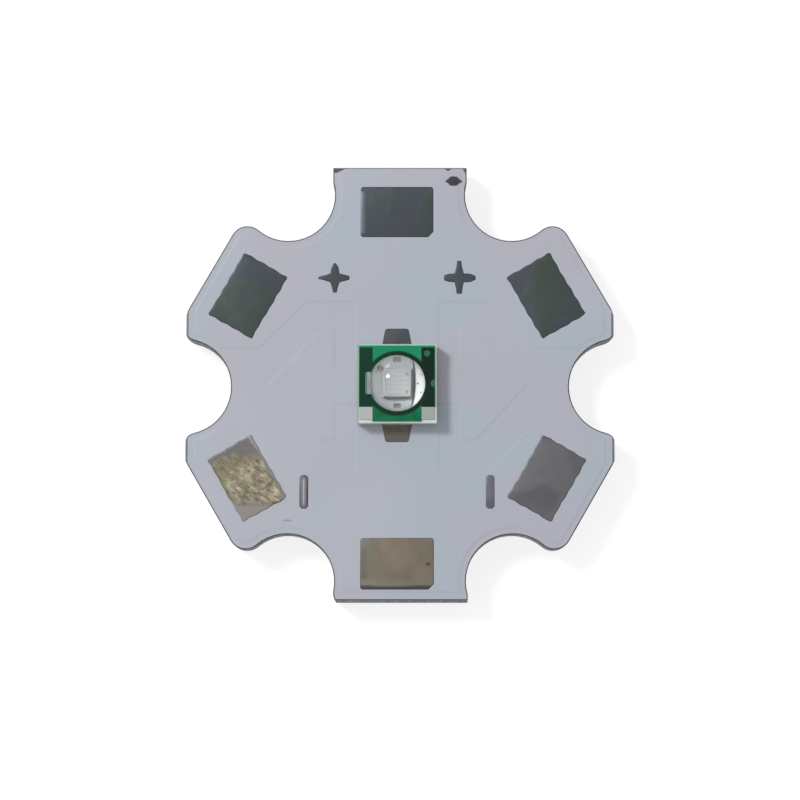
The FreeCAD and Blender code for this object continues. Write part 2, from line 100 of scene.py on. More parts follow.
# Package, in millimetres: metal and clear spots under its green mask, and what shows on the metal
TRACE_WIDTH = 0.58
RING_RADIUS = 1.42
DOT_PLACE = 1.31
DOT_RADIUS = 0.14
KEY_RADIUS = 0.17
FILLED_GAP = 0.035
PROBE_MARK_PLACE = 0.65
PROBE_MARK_RADIUS = 0.035

# Short scratch in the white mask, beside the lower left pad, in millimetres
SCRATCH_PLACE = (-4.9, -6.06)
SCRATCH_LENGTH = 0.56
SCRATCH_WIDTH = 0.12

# Where the wiped pad stays plain, in millimetres from its middle: round a corner, whose place is given
# along and across the pad, and below a level
PLAIN_CORNER = (-1.6, 1.1)
PLAIN_END = -1.1

# What polished faces see of the studio: a dull side, a brighter one with a wide soft edge, and a strip
DULL_SIDE = 0.35
BRIGHT_SIDE = (-0.45, 0.35, 0.82)
BRIGHT_SIDE_GAIN = 0.75
BRIGHT_SIDE_EDGE = (-0.3, 0.9)
STRIP = (-0.49, 0.866, 0.1)
STRIP_GAIN = 6.0
STRIP_EDGE = (0.984, 0.99)


def display(red, green, blue):
    """Scene-linear colour from display values of 0 to 255."""
    shares = [value / 255 for value in (red, green, blue)]
    return tuple(s / 12.92 if s <= 0.04045 else ((s + 0.055) / 1.055) ** 2.4 for s in shares)


# Marks on tinned areas: lowest and highest corner as shares of the pad's box, how soft, colour and strength
BOTTOM_TOUCHES = [
    ((0.00, 0.08), (1.00, 0.20), 0.05, display(112, 116, 104), 0.6),
    ((0.00, 0.22), (0.10, 0.80), 0.06, display(92, 88, 86), 0.6),
    ((0.00, 0.84), (0.18, 1.10), 0.08, display(104, 108, 116), 0.5),
    ((0.35, 0.45), (0.70, 0.65), 0.20, display(132, 119, 100), 0.7),
    ((0.90, 0.47), (0.96, 0.53), 0.02, display(62, 58, 58), 0.8),
    # Painted shadow of the mask's wall along the pad's lower edge
    ((-0.10, -0.10), (1.10, 0.08), 0.02, display(58, 60, 66), 0.8),
]
TOP_TOUCHES = [
    # Painted highlight along the pad's left edge
    ((-0.10, 0.08), (0.05, 0.90), 0.03, display(116, 120, 124), 0.6),
]
MINUS_TOUCHES = [
    ((0.20, 0.06), (0.80, 0.94), 0.08, display(120, 118, 123), 0.8),
    # Painted highlight along the middle of the mark
    ((0.44, 0.12), (0.56, 0.88), 0.08, display(184, 183, 180), 0.7),
]


def colour_property(name, description, red, green, blue):
    """Colour setting, given by its display values."""
    return FloatVectorProperty(name=name, description=description, subtype="COLOR", size=3,
                               min=0.0, max=1.0, default=display(red, green, blue))


def length_property(name, description, millimetres):
    """Length setting, given in millimetres and kept in metres."""
    return FloatProperty(name=name, description=description, unit="LENGTH", precision=6,
                         min=0.0, default=millimetres / MM)


def share_property(name, description, share):
    """Setting from 0 to 1."""
    return FloatProperty(name=name, description=description, subtype="FACTOR",
                         min=0.0, max=1.0, default=share)


def angle_property(name, description, degrees):
    """Angle setting, given in degrees."""
    return FloatProperty(name=name, description=description, subtype="ANGLE", unit="ROTATION",
                         default=math.radians(degrees))


# Settings

class BoardSettings(PropertyGroup):
    """Finishes of the board and sizes of what is added to it."""
    mask: colour_property("Mask", "White printed mask", 171, 175, 185)
    mask_cool: colour_property("Cool tint", "Bluish areas of the mask", 164, 174, 184)
    mask_lilac: colour_property("Lilac tint", "Pinkish areas of the mask", 172, 171, 183)
    # This colour is painted shade on the mask's steep walls, and also the colour of its few dark specks
    mask_wall_shade_and_specks: colour_property("Mask edge", "Mask bruised along the punched outline", 118, 120, 126)
    aluminium: colour_property("Aluminium", "Rolled faces of the plate", 168, 168, 165)
    # The punched side's dark colour is painted shade on the plate's wall
    aluminium_wall_shade: colour_property("Punched side", "Sheared wall of the plate", 84, 86, 90)
    dielectric: colour_property("Dielectric", "Insulating layer, seen at the edge", 88, 82, 76)
    copper: colour_property("Copper", "Foil under the mask", 190, 120, 86)
    back_edge: length_property("Back edge", "Rounding of the rolled back edge", 0.12)


class TinSettings(PropertyGroup):
    """Tinned pads and marks."""
    # Painted reflection: the tin's colours are dark and differ from pad to pad, after the dark surroundings
    # that each one mirrors
    upper: colour_property("Upper pads", "Tin of the upper pads and plus marks", 70, 74, 80)
    upper_cast: colour_property("Upper cast", "Greenish areas of the upper pads", 66, 74, 70)
    lower_right: colour_property("Lower right pad", "Tin of the lower right pad", 101, 101, 104)
    lower_right_cast: colour_property("Lower right cast", "Darker areas of that pad", 92, 92, 96)
    bottom: colour_property("Bottom pad", "Tin of the bottom pad", 122, 110, 98)
    bottom_cast: colour_property("Bottom cast", "Greenish areas of the bottom pad", 108, 104, 92)
    left_minus: colour_property("Left minus mark", "Tin round the left minus mark", 96, 95, 101)
    right_minus: colour_property("Right minus mark", "Tin of the right minus mark", 108, 107, 116)
    shoulder: length_property("Shoulder", "Run over which the tin rises from its window", 0.05)
    rise: length_property("Rise", "Height that the tin gains over its shoulder", 0.02)


class SolderSettings(PropertyGroup):
    """Pad that was soldered and wiped."""
    # The ridges' colour is a painted highlight; the hollows' colour is flux stain with painted shade
    bright: colour_property("Ridges", "Tops of the wrinkles", 176, 166, 138)
    middle: colour_property("Slopes", "Sides of the wrinkles", 130, 123, 105)
    dull: colour_property("Hollows", "Flux-stained hollows", 100, 88, 64)
    rim: colour_property("Rim", "Dull tin round the wrinkles", 104, 102, 101)
    wrinkle_length: length_property("Wrinkle length", "Length of a wrinkle", 0.36)
    wrinkle_width: length_property("Wrinkle width", "Width of a wrinkle", 0.14)
    wrinkle_height: length_property("Wrinkle height", "Height of the wrinkles", 0.075)
    wrinkle_turn: angle_property("Wrinkle turn", "Direction of the wrinkles", -32)
    pad_turn: angle_property("Pad turn", "Direction of the pad's length", -60)
    cell: length_property("Cell", "Size of the faces that the wrinkles are made of", 0.025)


class InkSettings(PropertyGroup):
    """Inspection dot."""
    ink: colour_property("Ink", "Dried ink", 26, 26, 36)
    length: length_property("Length", "Length of the dot, point to point", 0.76)
    width: length_property("Width", "Width of the dot", 0.43)
    height: length_property("Height", "Thickness of the dried ink", 0.015)
    taper: share_property("Taper", "How far the dot narrows towards its points", 0.6)
    x: length_property("Place X", "Distance right of the board's middle", 2.36)
    y: length_property("Place Y", "Distance above the board's middle", 8.92)


class PackageSettings(PropertyGroup):
    """Finishes of the package."""
    ceramic: colour_property("Ceramic", "Fired body", 206, 208, 208)
    gap: colour_property("Gap", "Floor of the gaps in the metal under the lens", 118, 117, 116)
    green: colour_property("Green mask", "Mask over bare ceramic", 30, 134, 94)
    # This colour is painted shade below the lens
    low_green_shade: colour_property("Low green", "Mask over bare ceramic below the lens", 12, 94, 58)
    # These two colours are painted reflection: the mask over the metal mirrors dark surroundings, darker on
    # the right
    dark_green_reflection: colour_property("Dark green", "Mask over the left metal", 14, 56, 38)
    darker_green_reflection: colour_property("Darker green", "Mask over the right metal", 14, 34, 26)
    window_green: colour_property("Clear green", "Mask over the dot and the key", 44, 108, 80)
    plating: colour_property("Plating", "Plated metal on top of the ceramic", 168, 173, 172)
    die_plating: colour_property("Die plating", "Satin metal round the emitter", 160, 165, 166)
    solder: colour_property("Solder", "Solder at the contacts", 66, 71, 76)
    die: colour_property("Emitter", "Polished emitter", 158, 162, 165)
    fingers: colour_property("Fingers", "Electrodes on the emitter", 160, 162, 165)
    diode: colour_property("Diode", "Protection diode", 26, 26, 28)
    gold: colour_property("Gold", "Bond wires", 156, 143, 116)


class LensSettings(PropertyGroup):
    """Silicone lens."""
    silicone: colour_property("Silicone", "Tint of the clear silicone", 246, 248, 248)
    skirt: length_property("Skirt", "Straight wall under the dome", 0.03)
    window_margin: length_property("Overlap", "How far the lens laps over the green mask", 0.08)
    tab_width: length_property("Tab width", "Width of the moulding tab", 0.98)
    tab_height: length_property("Tab height", "Height of the moulding tab", 0.12)
    tab_rounding: length_property("Tab rounding", "Rounding of the tab's corners", 0.04)
    tab: colour_property("Tab", "Cloudy silicone of the moulding tab", 104, 118, 113)
    sink: length_property("Sink", "How far the silicone wets into the surface under it", 0.003)
    segments: IntProperty(name="Segments", description="Sides of the dome", default=128, min=16, max=256)


class WireSettings(PropertyGroup):
    """Bond wires, at the sizes that the packed pieces have."""
    radius: length_property("Radius", "Radius of the wire", 0.016)
    ball_radius: length_property("Ball radius", "Radius of the ball bond", 0.034)
    ball_height: length_property("Ball height", "Height of the ball bond", 0.03)
    stitch: length_property("Stitch", "Length of the wedge bond", 0.08)
    sides: IntProperty(name="Sides", description="Sides of the wire", default=12, min=6, max=32)
    steps: IntProperty(name="Steps", description="Stretches along the loop", default=24, min=8, max=64)


class StageSettings(PropertyGroup):
    """Camera, lamps and floor."""
    elevation: angle_property("Elevation", "Height of the camera above the horizon", 84)
    distance: length_property("Distance", "From the camera to the board's face", 120)
    field: length_property("Field", "Width that the picture covers at the board's face", 34.98)
    aim_y: length_property("Aim", "How far below the board's middle the camera aims", 0.785)
    lamp_bearing: angle_property("Lamp bearing", "Direction of the lamp, from +X towards +Y", 145)
    lamp_elevation: angle_property("Lamp elevation", "Height of the lamp above the horizon", 46)
    lamp_distance: length_property("Lamp distance", "From the board to the lamp", 300)
    lamp_size: length_property("Lamp size", "Width of the lamp", 70)
    lamp_share: share_property("Lamp share", "Share of the light that comes from the lamp", 0.44)
    floor_size: length_property("Floor", "Width of the floor", 1200)
    floor_gap: length_property("Floor gap", "Gap between the floor and the plate's back", 0.01)
    floor_tone: share_property("Floor tone", "How much of the light the floor gives back", 0.32)
    floor_glow: share_property("Floor glow", "How far the floor shows white by itself", 0.78)


# Materials

class Value:
    """A number or colour that a shader works out, used in plain arithmetic."""

    def __init__(self, shader, socket):
        self.shader = shader
        self.socket = socket

    def math(self, operation, *values):
        """Result of a Math node on these values."""
        return self.shader.node("ShaderNodeMath", {"operation": operation}, dict(enumerate(values)))

    def __add__(self, other):
        return self.math("ADD", self, other)

    def __sub__(self, other):
        return self.math("SUBTRACT", self, other)

    def __rsub__(self, other):
        return self.math("SUBTRACT", other, self)

    def __mul__(self, other):
        return self.math("MULTIPLY", self, other)

    def __truediv__(self, other):
        return self.math("DIVIDE", self, other)

    def __pow__(self, other):
        return self.math("POWER", self, other)

    def __abs__(self):
        return self.math("ABSOLUTE", self)

    __radd__ = __add__
    __rmul__ = __mul__

    def least(self, other):
        """The smaller of two values."""
        return self.math("MINIMUM", self, other)

    def most(self, other):
        """The larger of two values."""
        return self.math("MAXIMUM", self, other)

    def rise(self, low, high):
        """0 up to low, 1 from high, and a smooth climb between."""
        return self.shader.node("ShaderNodeMapRange", {"interpolation_type": "SMOOTHSTEP", "clamp": True},
                                {"Value": self, "From Min": low, "From Max": high})

    def fall(self, low, high):
        """1 up to low, 0 from high."""
        return 1 - self.rise(low, high)


class Shader:
    """A node tree that is built from expressions."""

    def __init__(self, tree):
        self.tree = tree
        tree.nodes.clear()

    def node(self, kind, settings=None, values=None, output=0):
        """Adds a node, with its settings first and then the values or links of its sockets."""
        made = self.tree.nodes.new(kind)
        for name, setting in (settings or {}).items():
            setattr(made, name, setting)
        for key, value in (values or {}).items():
            self.feed(made.inputs[key], value)
        return Value(self, made.outputs[output]) if len(made.outputs) else None

    def feed(self, socket, value):
        """Links a value to a socket, or sets a plain one on it."""
        if isinstance(value, Value):
            self.tree.links.new(value.socket, socket)
        elif socket.type == "RGBA":
            socket.default_value = (*value[:3], 1.0)
        else:
            socket.default_value = value

    def blend(self, share, first, second):
        """Colour that goes from first to second as share goes from 0 to 1."""
        return self.node("ShaderNodeMix", {"data_type": "RGBA"}, {0: share, 6: first, 7: second}, output=2)

    def light_path(self, ray):
        """1 for this kind of ray."""
        return self.node("ShaderNodeLightPath", output=ray)

    def shown(self):
        """1 for what the camera, a mirror or glass sees, and 0 for the light that reaches a surface."""
        return self.light_path("Is Camera Ray").most(self.light_path("Is Glossy Ray")).most(
            self.light_path("Is Transmission Ray"))


class Finish(Shader):
    """A material with one Principled surface, its patterns measured in millimetres."""

    def __init__(self, name, constants=None):
        self.material = bpy.data.materials.new(name)
        self.material.use_nodes = True
        super().__init__(self.material.node_tree)
        surface = self.node("ShaderNodeBsdfPrincipled", values=constants)
        self.surface = surface.socket.node
        self.node("ShaderNodeOutputMaterial", values={"Surface": surface})

    def set(self, name, value):
        """Sets or links a socket of the surface."""
        self.feed(self.surface.inputs[name], value)

    def place(self, stretch=(1, 1, 1), shift=(0, 0, 0), turn=0.0):
        """Place on the piece in millimetres, turned and then stretched and moved for a pattern."""
        spot = self.node("ShaderNodeTexCoord", output="Object")
        if turn:
            spot = self.node("ShaderNodeMapping", values={"Vector": spot, "Rotation": (0, 0, turn)})
        return self.node("ShaderNodeMapping", values={
            "Vector": spot, "Location": shift, "Scale": tuple(MM * share for share in stretch)})

    def axes(self, names, middle=(0.0, 0.0)):
        """Numbers of a place along these axes, counted from a middle in the board's plane."""
        place = self.place(shift=(-middle[0], -middle[1], 0))
        return [self.node("ShaderNodeSeparateXYZ", values={"Vector": place}, output=axis) for axis in names]

    def disc(self, x, y, radius, soft):
        """1 inside a circle in the board's plane, 0 outside, and soft at its rim."""
        across, upward = self.axes("XY", (x, y))
        return ((across * across + upward * upward) ** 0.5).fall(radius - soft, radius + soft)

    def facing(self, axis):
        """How far a face looks along an axis, from -1 to 1."""
        normal = self.node("ShaderNodeNewGeometry", output="Normal")
        return self.node("ShaderNodeSeparateXYZ", values={"Vector": normal}, output=axis)

    def noise(self, per_mm, detail=2.0, roughness=0.5, **where):
        """Cloudy pattern, about 0.3 to 0.7, with so many features to a millimetre."""
        return self.node("ShaderNodeTexNoise", values={
            "Vector": self.place(**where), "Scale": per_mm, "Detail": detail, "Roughness": roughness})

    def cells(self, per_mm, **where):
        """Distance from the middle of scattered cells."""
        return self.node("ShaderNodeTexVoronoi", values={"Vector": self.place(**where), "Scale": per_mm})

    def calmed(self, strength):
        """Normal whose shallow slopes are weaker by this factor, with upright walls as they are."""
        normal = self.node("ShaderNodeNewGeometry", output="Normal")
        raised = self.node("ShaderNodeVectorMath", {"operation": "MULTIPLY"},
                           {0: normal, 1: (1, 1, strength)})
        return self.node("ShaderNodeVectorMath", {"operation": "NORMALIZE"}, {0: raised})

    def relief(self, *layers, base=None):
        """Fine relief on a base normal: pairs of a height from 0 to 1 and its depth in millimetres."""
        normal = base
        for height, depth in layers:
            values = {"Height": height, "Distance": depth / MM, "Strength": 1.0}
            if normal:
                values["Normal"] = normal
            normal = self.node("ShaderNodeBump", values=values)
        self.set("Normal", normal)


def white_mask_finish(board):
    """Satin white print with a faint cool and lilac cast, and painted shade on its steep walls along the
    punched outline and windows.
    """
    finish = Finish("White printed mask", {"IOR": 1.5, "Coat Roughness": 0.3})
    cool = finish.noise(0.2, 1.0).rise(0.44, 0.6)
    lilac = finish.noise(0.24, 1.0, shift=(31, 7, 0)).rise(0.42, 0.6)
    cloud = finish.noise(1.1, 3.0, shift=(5, 3, 9))
    colour = finish.blend(cool * 0.8, board.mask, board.mask_cool)
    colour = finish.blend(lilac * 0.8, colour, board.mask_lilac)
    # Painted shade: the mask's steep walls are darker
    side = finish.facing("Z").fall(0.2, 0.75)
    colour = finish.blend(side * 0.55, colour, board.mask_wall_shade_and_specks)
    specks = finish.cells(1.3, shift=(3, 8, 0)).fall(0.02, 0.05) * cloud.rise(0.5, 0.56)
    colour = finish.blend(specks * 0.35, colour, board.mask_wall_shade_and_specks)
    x, y = finish.axes("XY", SCRATCH_PLACE)
    scratch = ((x / SCRATCH_LENGTH) ** 2 + (y / SCRATCH_WIDTH) ** 2).fall(0.1, 0.25)
    colour = finish.blend(scratch * 0.7, colour, display(132, 138, 152))
    finish.set("Base Color", colour)
    grain = finish.noise(14, 4.0, 0.6)
    finish.set("Roughness", 0.36 + 0.16 * cloud + 0.1 * grain)
    finish.relief((cloud, 0.004), (grain, 0.0022), base=finish.calmed(3.5))
    return finish.material


def aluminium_finish(board):
    """Rolled plate: brushed along Y on its faces, sheared and torn on its punched wall, which is painted dark
    as shade.
    """
    finish = Finish("Rolled aluminium plate", {"Metallic": 1.0})
    [z] = finish.axes("Z")
    wall = abs(finish.facing("Z")).fall(0.35, 0.6)
    brushed = finish.noise(9, 3.0, 0.6, stretch=(1, 0.04, 1))
    mottle = finish.noise(0.5, 3.0)
    torn = finish.noise(7, 4.0, 0.7, stretch=(1, 1, 0.15))
    low, high = [corner * MM for corner in (CAD_BOX[0][2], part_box("aluminium_base")[1].z)]
    sheared = z.rise(low + 0.55 * (high - low), low + 0.62 * (high - low))
    face = finish.blend(brushed.rise(0.3, 0.7) * 0.5 + mottle.rise(0.4, 0.65) * 0.4,
                        board.aluminium, display(138, 138, 136))
    # Painted shade: the punched wall is dark, with its torn streaks lighter
    side = finish.blend(torn.rise(0.35, 0.65) * (0.3 + 0.5 * sheared),
                        board.aluminium_wall_shade, display(128, 130, 133))
    finish.set("Base Color", finish.blend(wall, face, side))
    finish.set("Roughness", 0.3 + 0.16 * brushed + wall * (0.24 - 0.14 * sheared))
    finish.relief((brushed * (1 - wall), 0.003), (torn * wall, 0.012), (mottle, 0.004))
    return finish.material


def dielectric_finish(board):
    """Filled resin: dull, mottled, with pale filler grains."""
    finish = Finish("Filled resin", {"IOR": 1.55})
    mottle = finish.noise(5, 4.0, 0.6)
    filler = finish.cells(22).fall(0.12, 0.3)
    colour = finish.blend(mottle.rise(0.35, 0.65) * 0.5, board.dielectric, display(58, 52, 48))
    finish.set("Base Color", finish.blend(filler * 0.35, colour, display(170, 165, 155)))
    finish.set("Roughness", 0.65 + 0.2 * mottle)
    finish.relief((mottle, 0.01), (filler, 0.004))
    return finish.material


def copper_finish(board):
    """Rolled foil, brushed for the lamination."""
    finish = Finish("Rolled copper foil", {"Metallic": 1.0})
    brushed = finish.noise(12, 3.0, 0.6, stretch=(0.05, 1, 1))
    tarnish = finish.noise(0.8, 3.0)
    finish.set("Base Color", finish.blend(tarnish.rise(0.4, 0.65) * 0.5, board.copper, display(140, 86, 66)))
    finish.set("Roughness", 0.32 + 0.2 * brushed)
    finish.relief((brushed, 0.002))
    return finish.material


def tin_finish(name, tone, cast, phase, node=None, touches=()):
    """Levelled tin: soft areas of two tones, a fine grain, a painted dark reflection on its shoulder, a few
    pits and its marks.
    """
    finish = Finish(name, {"Metallic": 1.0})
    area = finish.noise(0.55, 2.0, shift=(phase, 2 * phase, 0)).rise(0.4, 0.6)
    grain = finish.noise(18, 4.0, 0.65)
    shoulder = finish.facing("Z").fall(0.9, 0.995)
    pits = finish.cells(2.2, shift=(0, phase, 0)).fall(0.03, 0.07)
    colour = finish.blend(area, tone, cast)
    if touches:
        x, y = finish.axes("XY")
        edge_low, edge_high = box_mm(node)
        across = (x - edge_low.x) / (edge_high.x - edge_low.x) + 0.02 * area
        upward = (y - edge_low.y) / (edge_high.y - edge_low.y) + 0.02 * area
    for low, high, soft, touch, strength in touches:
        share = strength
        for place, least, most in ((across, low[0], high[0]), (upward, low[1], high[1])):
            share = share * place.rise(least - soft, least + soft)
            share = share * place.fall(most - soft, most + soft)
        colour = finish.blend(share, colour, touch)
    # Painted dark reflection on the shoulder, where the tin slopes down to its window
    colour = finish.blend(shoulder * 0.55, colour, display(46, 47, 52))
    finish.set("Base Color", finish.blend(pits * 0.5, colour, display(50, 48, 46)))
    finish.set("Roughness", 0.34 + 0.1 * area + 0.14 * grain)
    finish.relief((area, 0.012), (grain, 0.0016), (pits, 0.006))
    return finish.material


def crumpled_solder_finish(solder, middle, low, high):
    """Wiped solder: painted highlights on the ridges and hollows darkened by flux stain and painted shade,
    with plain tin round them.
    """
    finish = Finish("Crumpled solder")
    x, y, z = finish.axes("XYZ", middle)
    far = x * math.cos(solder.pad_turn) + y * math.sin(solder.pad_turn)
    aside = y * math.cos(solder.pad_turn) - x * math.sin(solder.pad_turn)
    cloud = finish.noise(2.2, 3.0, 0.6, shift=(4, 2, 0)) - 0.5
    from_corner = ((far - PLAIN_CORNER[0]) ** 2 + (aside - PLAIN_CORNER[1]) ** 2) ** 0.5 + cloud
    wiped = from_corner.rise(0.7, 1.15) * (far + cloud).rise(-1.45, -1.15)
    lower_end = (y + cloud).fall(PLAIN_END - 0.1, PLAIN_END + 0.15)
    margin = (aside + 0.4 * cloud).rise(0.9, 1.0)
    height = z.rise(low + 0.15 * (high - low), low + 0.6 * (high - low))
    ridge = z.rise(low + 0.45 * (high - low), low + 0.9 * (high - low))
    stain = finish.noise(1.4, 3.0, 0.6).rise(0.42, 0.6)
    blotch = finish.noise(6.0, 3.0, 0.6, turn=-solder.wrinkle_turn, stretch=(0.4, 1, 1))
    grain = finish.noise(26, 3.0, 0.6)
    # Darker low on the wrinkles: flux stain with painted shade in the hollows
    colour = finish.blend(height, solder.dull, solder.middle)
    colour = finish.blend(stain * 0.5, colour, display(126, 128, 100))
    # Dark spots where the relief dips: flux stain with painted shade
    colour = finish.blend(blotch.fall(0.36, 0.46) * 0.6, colour, display(88, 72, 52))
    # Painted highlight on the ridges
    colour = finish.blend(ridge * blotch.rise(0.42, 0.62), colour, solder.bright)
    colour = finish.blend(1 - wiped, colour, solder.rim)
    colour = finish.blend(lower_end * 0.85, colour, display(136, 132, 126))
    colour = finish.blend(margin * 0.7, colour, display(142, 144, 146))
    finish.set("Base Color", colour)
    finish.set("Roughness", 0.44 - 0.12 * ridge + 0.12 * grain)
    finish.set("Metallic", 0.75 - 0.35 * wiped)
    plain = lower_end.most(margin).most(1 - wiped)
    finish.relief((blotch * (1 - plain), 0.014), (grain, 0.001))
    return finish.material


def ink_finish(ink):
    """Dried ink: nearly black, with a thinner bluish rim."""
    finish = Finish("Dried ink", {"IOR": 1.48})
    [z] = finish.axes("Z")
    face = box_mm("solder_mask")[1].z
    streak = finish.noise(5, 3.0, 0.6, stretch=(1, 0.4, 1))
    thin = z.fall(face + 0.004, face + 0.014)
    colour = finish.blend(streak.rise(0.4, 0.62) * 0.5, ink.ink, display(46, 46, 58))
    finish.set("Base Color", finish.blend(thin * 0.3, colour, display(96, 98, 116)))
    finish.set("Roughness", 0.4 + 0.2 * streak)
    finish.relief((streak, 0.004))
    return finish.material


def ceramic_finish(package):
    """Fired ceramic: fine grain, saw lines on its diced sides, a tan cast and mask smeared at its border."""
    finish = Finish("Fired ceramic", {"IOR": 1.6, "Subsurface Weight": 0.15, "Subsurface Scale": 0.0002,
                                      "Subsurface Radius": (1.0, 0.9, 0.8)})
    wall = abs(finish.facing("Z")).fall(0.3, 0.7)
    grain = finish.noise(45, 3.0, 0.6)
    saw = finish.noise(30, 2.0, stretch=(0.04, 0.04, 1))
    cast = finish.noise(1.6, 2.0).rise(0.4, 0.65)
    colour = finish.blend(cast * 0.4, package.ceramic, display(214, 210, 202))
    colour = finish.blend(wall * saw.rise(0.5, 0.7) * 0.3, colour, display(178, 176, 172))
    middle = middle_of("led_die")
    x, y = finish.axes("XY")
    level = finish.facing("Z").rise(0.3, 0.7)
    under_lens = finish.disc(middle.x, middle.y, RING_RADIUS - 0.05, 0.05) * level
    low, high = box_mm("package_mask")
    soft = 0.01
    smeared_side = x.fall(low.x - soft, low.x + soft) * level
    smeared_top = y.rise(high.y - soft, high.y + soft) * level
    colour = finish.blend(smeared_top * 0.6, colour, display(132, 188, 164))
    colour = finish.blend(smeared_side * 0.7, colour, display(92, 150, 122))
    filled = box_mm("anode_trace")[1].x + FILLED_GAP
    gap = finish.blend(x.rise(filled - soft, filled + soft), package.gap, package.die_plating)
    finish.set("Base Color", finish.blend(under_lens, colour, gap))
    finish.set("Roughness", 0.48 + 0.2 * grain)
    finish.relief((grain, 0.0015), (saw * wall, 0.004))
    return finish.material


def green_mask_finish(package):
    """Glossy green print: bright over the ceramic with painted shade below the lens, and dark over the metal
    that it covers as a painted reflection, darker on the right.
    """
    finish = Finish("Green printed mask", {"IOR": 1.52, "Specular IOR Level": 0.1})
    middle = middle_of("led_die")
    x, y = finish.axes("XY", middle)
    reach_x = box_mm("cathode_trace")[1].x - middle.x
    reach_y = box_mm("cathode_trace")[1].y - middle.y
    soft = 0.02
    side = abs(x).rise(reach_x - TRACE_WIDTH - soft, reach_x - TRACE_WIDTH + soft)
    within = abs(x).fall(reach_x - soft, reach_x + soft) * abs(y).fall(reach_y - soft, reach_y + soft)
    metal = (side * within).most(finish.disc(middle.x, middle.y, RING_RADIUS, 2 * soft))
    dot = finish.disc(middle.x + DOT_PLACE, middle.y + DOT_PLACE, DOT_RADIUS, soft)
    key = finish.disc(middle.x + reach_x, middle.y, KEY_RADIUS, soft)
    cloud = finish.noise(2.0, 2.0).rise(0.35, 0.65)
    # Painted shade: darker below the lens
    green = finish.blend(y.fall(-1.2, 1.2), package.green, package.low_green_shade)
    green = finish.blend(cloud * 0.25, green, display(40, 144, 102))
    # Painted reflection: dark over the metal, darker to the right
    dark = finish.blend(x.rise(-1.4, 1.4), package.dark_green_reflection, package.darker_green_reflection)
    colour = finish.blend(metal, green, dark)
    colour = finish.blend(dot.most(key) * 0.9, colour, package.window_green)
    edge = finish.facing("Z").fall(0.3, 0.8)
    finish.set("Base Color", finish.blend(edge * 0.6, colour, display(120, 178, 150)))
    grain = finish.noise(16, 3.0, 0.6)
    finish.set("Roughness", 0.3 + 0.14 * grain + 0.06 * cloud)
    finish.relief((metal, 0.006), (grain, 0.001))
    return finish.material


def plating_finish(package):
    """Bright plating, satin under the lens, with a painted pool of light on its right under the lens and a
    few darker touches.
    """
    finish = Finish("Bright plating")
    middle = middle_of("led_die")
    [x] = finish.axes("X", middle)
    under_lens = finish.disc(middle.x, middle.y, RING_RADIUS - 0.15, 0.05)
    grain = finish.noise(30, 3.0, 0.6)
    touch = finish.noise(3.0, 3.0, 0.6).rise(0.5, 0.68)
    probe_mark = finish.disc(middle.x + PROBE_MARK_PLACE, middle.y, PROBE_MARK_RADIUS, 0.015)
    colour = finish.blend(x.rise(-1.2, 1.2) * 0.5, package.plating, display(130, 142, 136))
    colour = finish.blend(under_lens, colour, package.die_plating)
    # Painted light: brighter on the right under the lens, where the lens would gather the lamp's light
    colour = finish.blend(under_lens * x.rise(0.5, 0.6) * 0.8, colour, display(208, 213, 211))
    colour = finish.blend(probe_mark * 0.8, colour, display(62, 70, 66))
    finish.set("Base Color", finish.blend(touch * 0.3, colour, display(160, 158, 154)))
    finish.set("Metallic", 1 - 0.75 * under_lens)
    finish.set("Roughness", 0.2 + 0.08 * grain + 0.08 * touch + 0.3 * under_lens)
    finish.relief((grain, 0.0005), (touch, 0.0015))
    return finish.material


def solder_finish(package):
    """Reflowed solder: dull, with crystal facets, warm flux stains, and lighter and warmer towards the lower
    joint.
    """
    finish = Finish("Reflowed solder", {"Metallic": 0.9})
    [y] = finish.axes("Y")
    facets = finish.cells(7).rise(0.1, 0.6)
    stain = finish.noise(1.5, 3.0).rise(0.42, 0.62) * 0.3
    # Lighter and warmer towards the lower joint
    warm = y.fall(-1.9, -1.5)
    colour = finish.blend(facets * 0.25, package.solder, display(86, 88, 92))
    finish.set("Base Color", finish.blend(stain.most(warm * 0.6), colour, display(102, 94, 84)))
    finish.set("Roughness", 0.36 + 0.18 * facets)
    finish.relief((facets, 0.003))
    return finish.material


def die_finish(package):
    """Polished emitter: silvery, with a faint violet cast and darker diced edges."""
    finish = Finish("Polished emitter", {"IOR": 1.8})
    middle = middle_of("led_die")
    x, y = finish.axes("XY", middle)
    half = box_mm("led_die")[1].x - middle.x
    edge = abs(x).most(abs(y)).rise(half - 0.05, half)
    cast = finish.noise(2.0, 1.0).rise(0.4, 0.6)
    colour = finish.blend(cast * 0.4, package.die, display(162, 160, 164))
    colour = finish.blend(x.rise(0.1, 0.3) * 0.6, colour, display(168, 164, 164))
    finish.set("Base Color", finish.blend(edge * 0.15, colour, display(150, 152, 156)))
    finish.set("Roughness", 0.34 + 0.1 * cast)
    return finish.material


def metal_finish(name, tone, dull, roughness, grain_per_mm):
    """Small metal part with a fine grain and soft duller areas."""
    finish = Finish(name, {"Metallic": 1.0})
    grain = finish.noise(grain_per_mm, 3.0, 0.6)
    area = finish.noise(grain_per_mm / 8, 2.0).rise(0.4, 0.62)
    finish.set("Base Color", finish.blend(area * 0.5, tone, dull))
    finish.set("Roughness", roughness + 0.14 * grain)
    finish.relief((grain, 0.0006))
    return finish.material


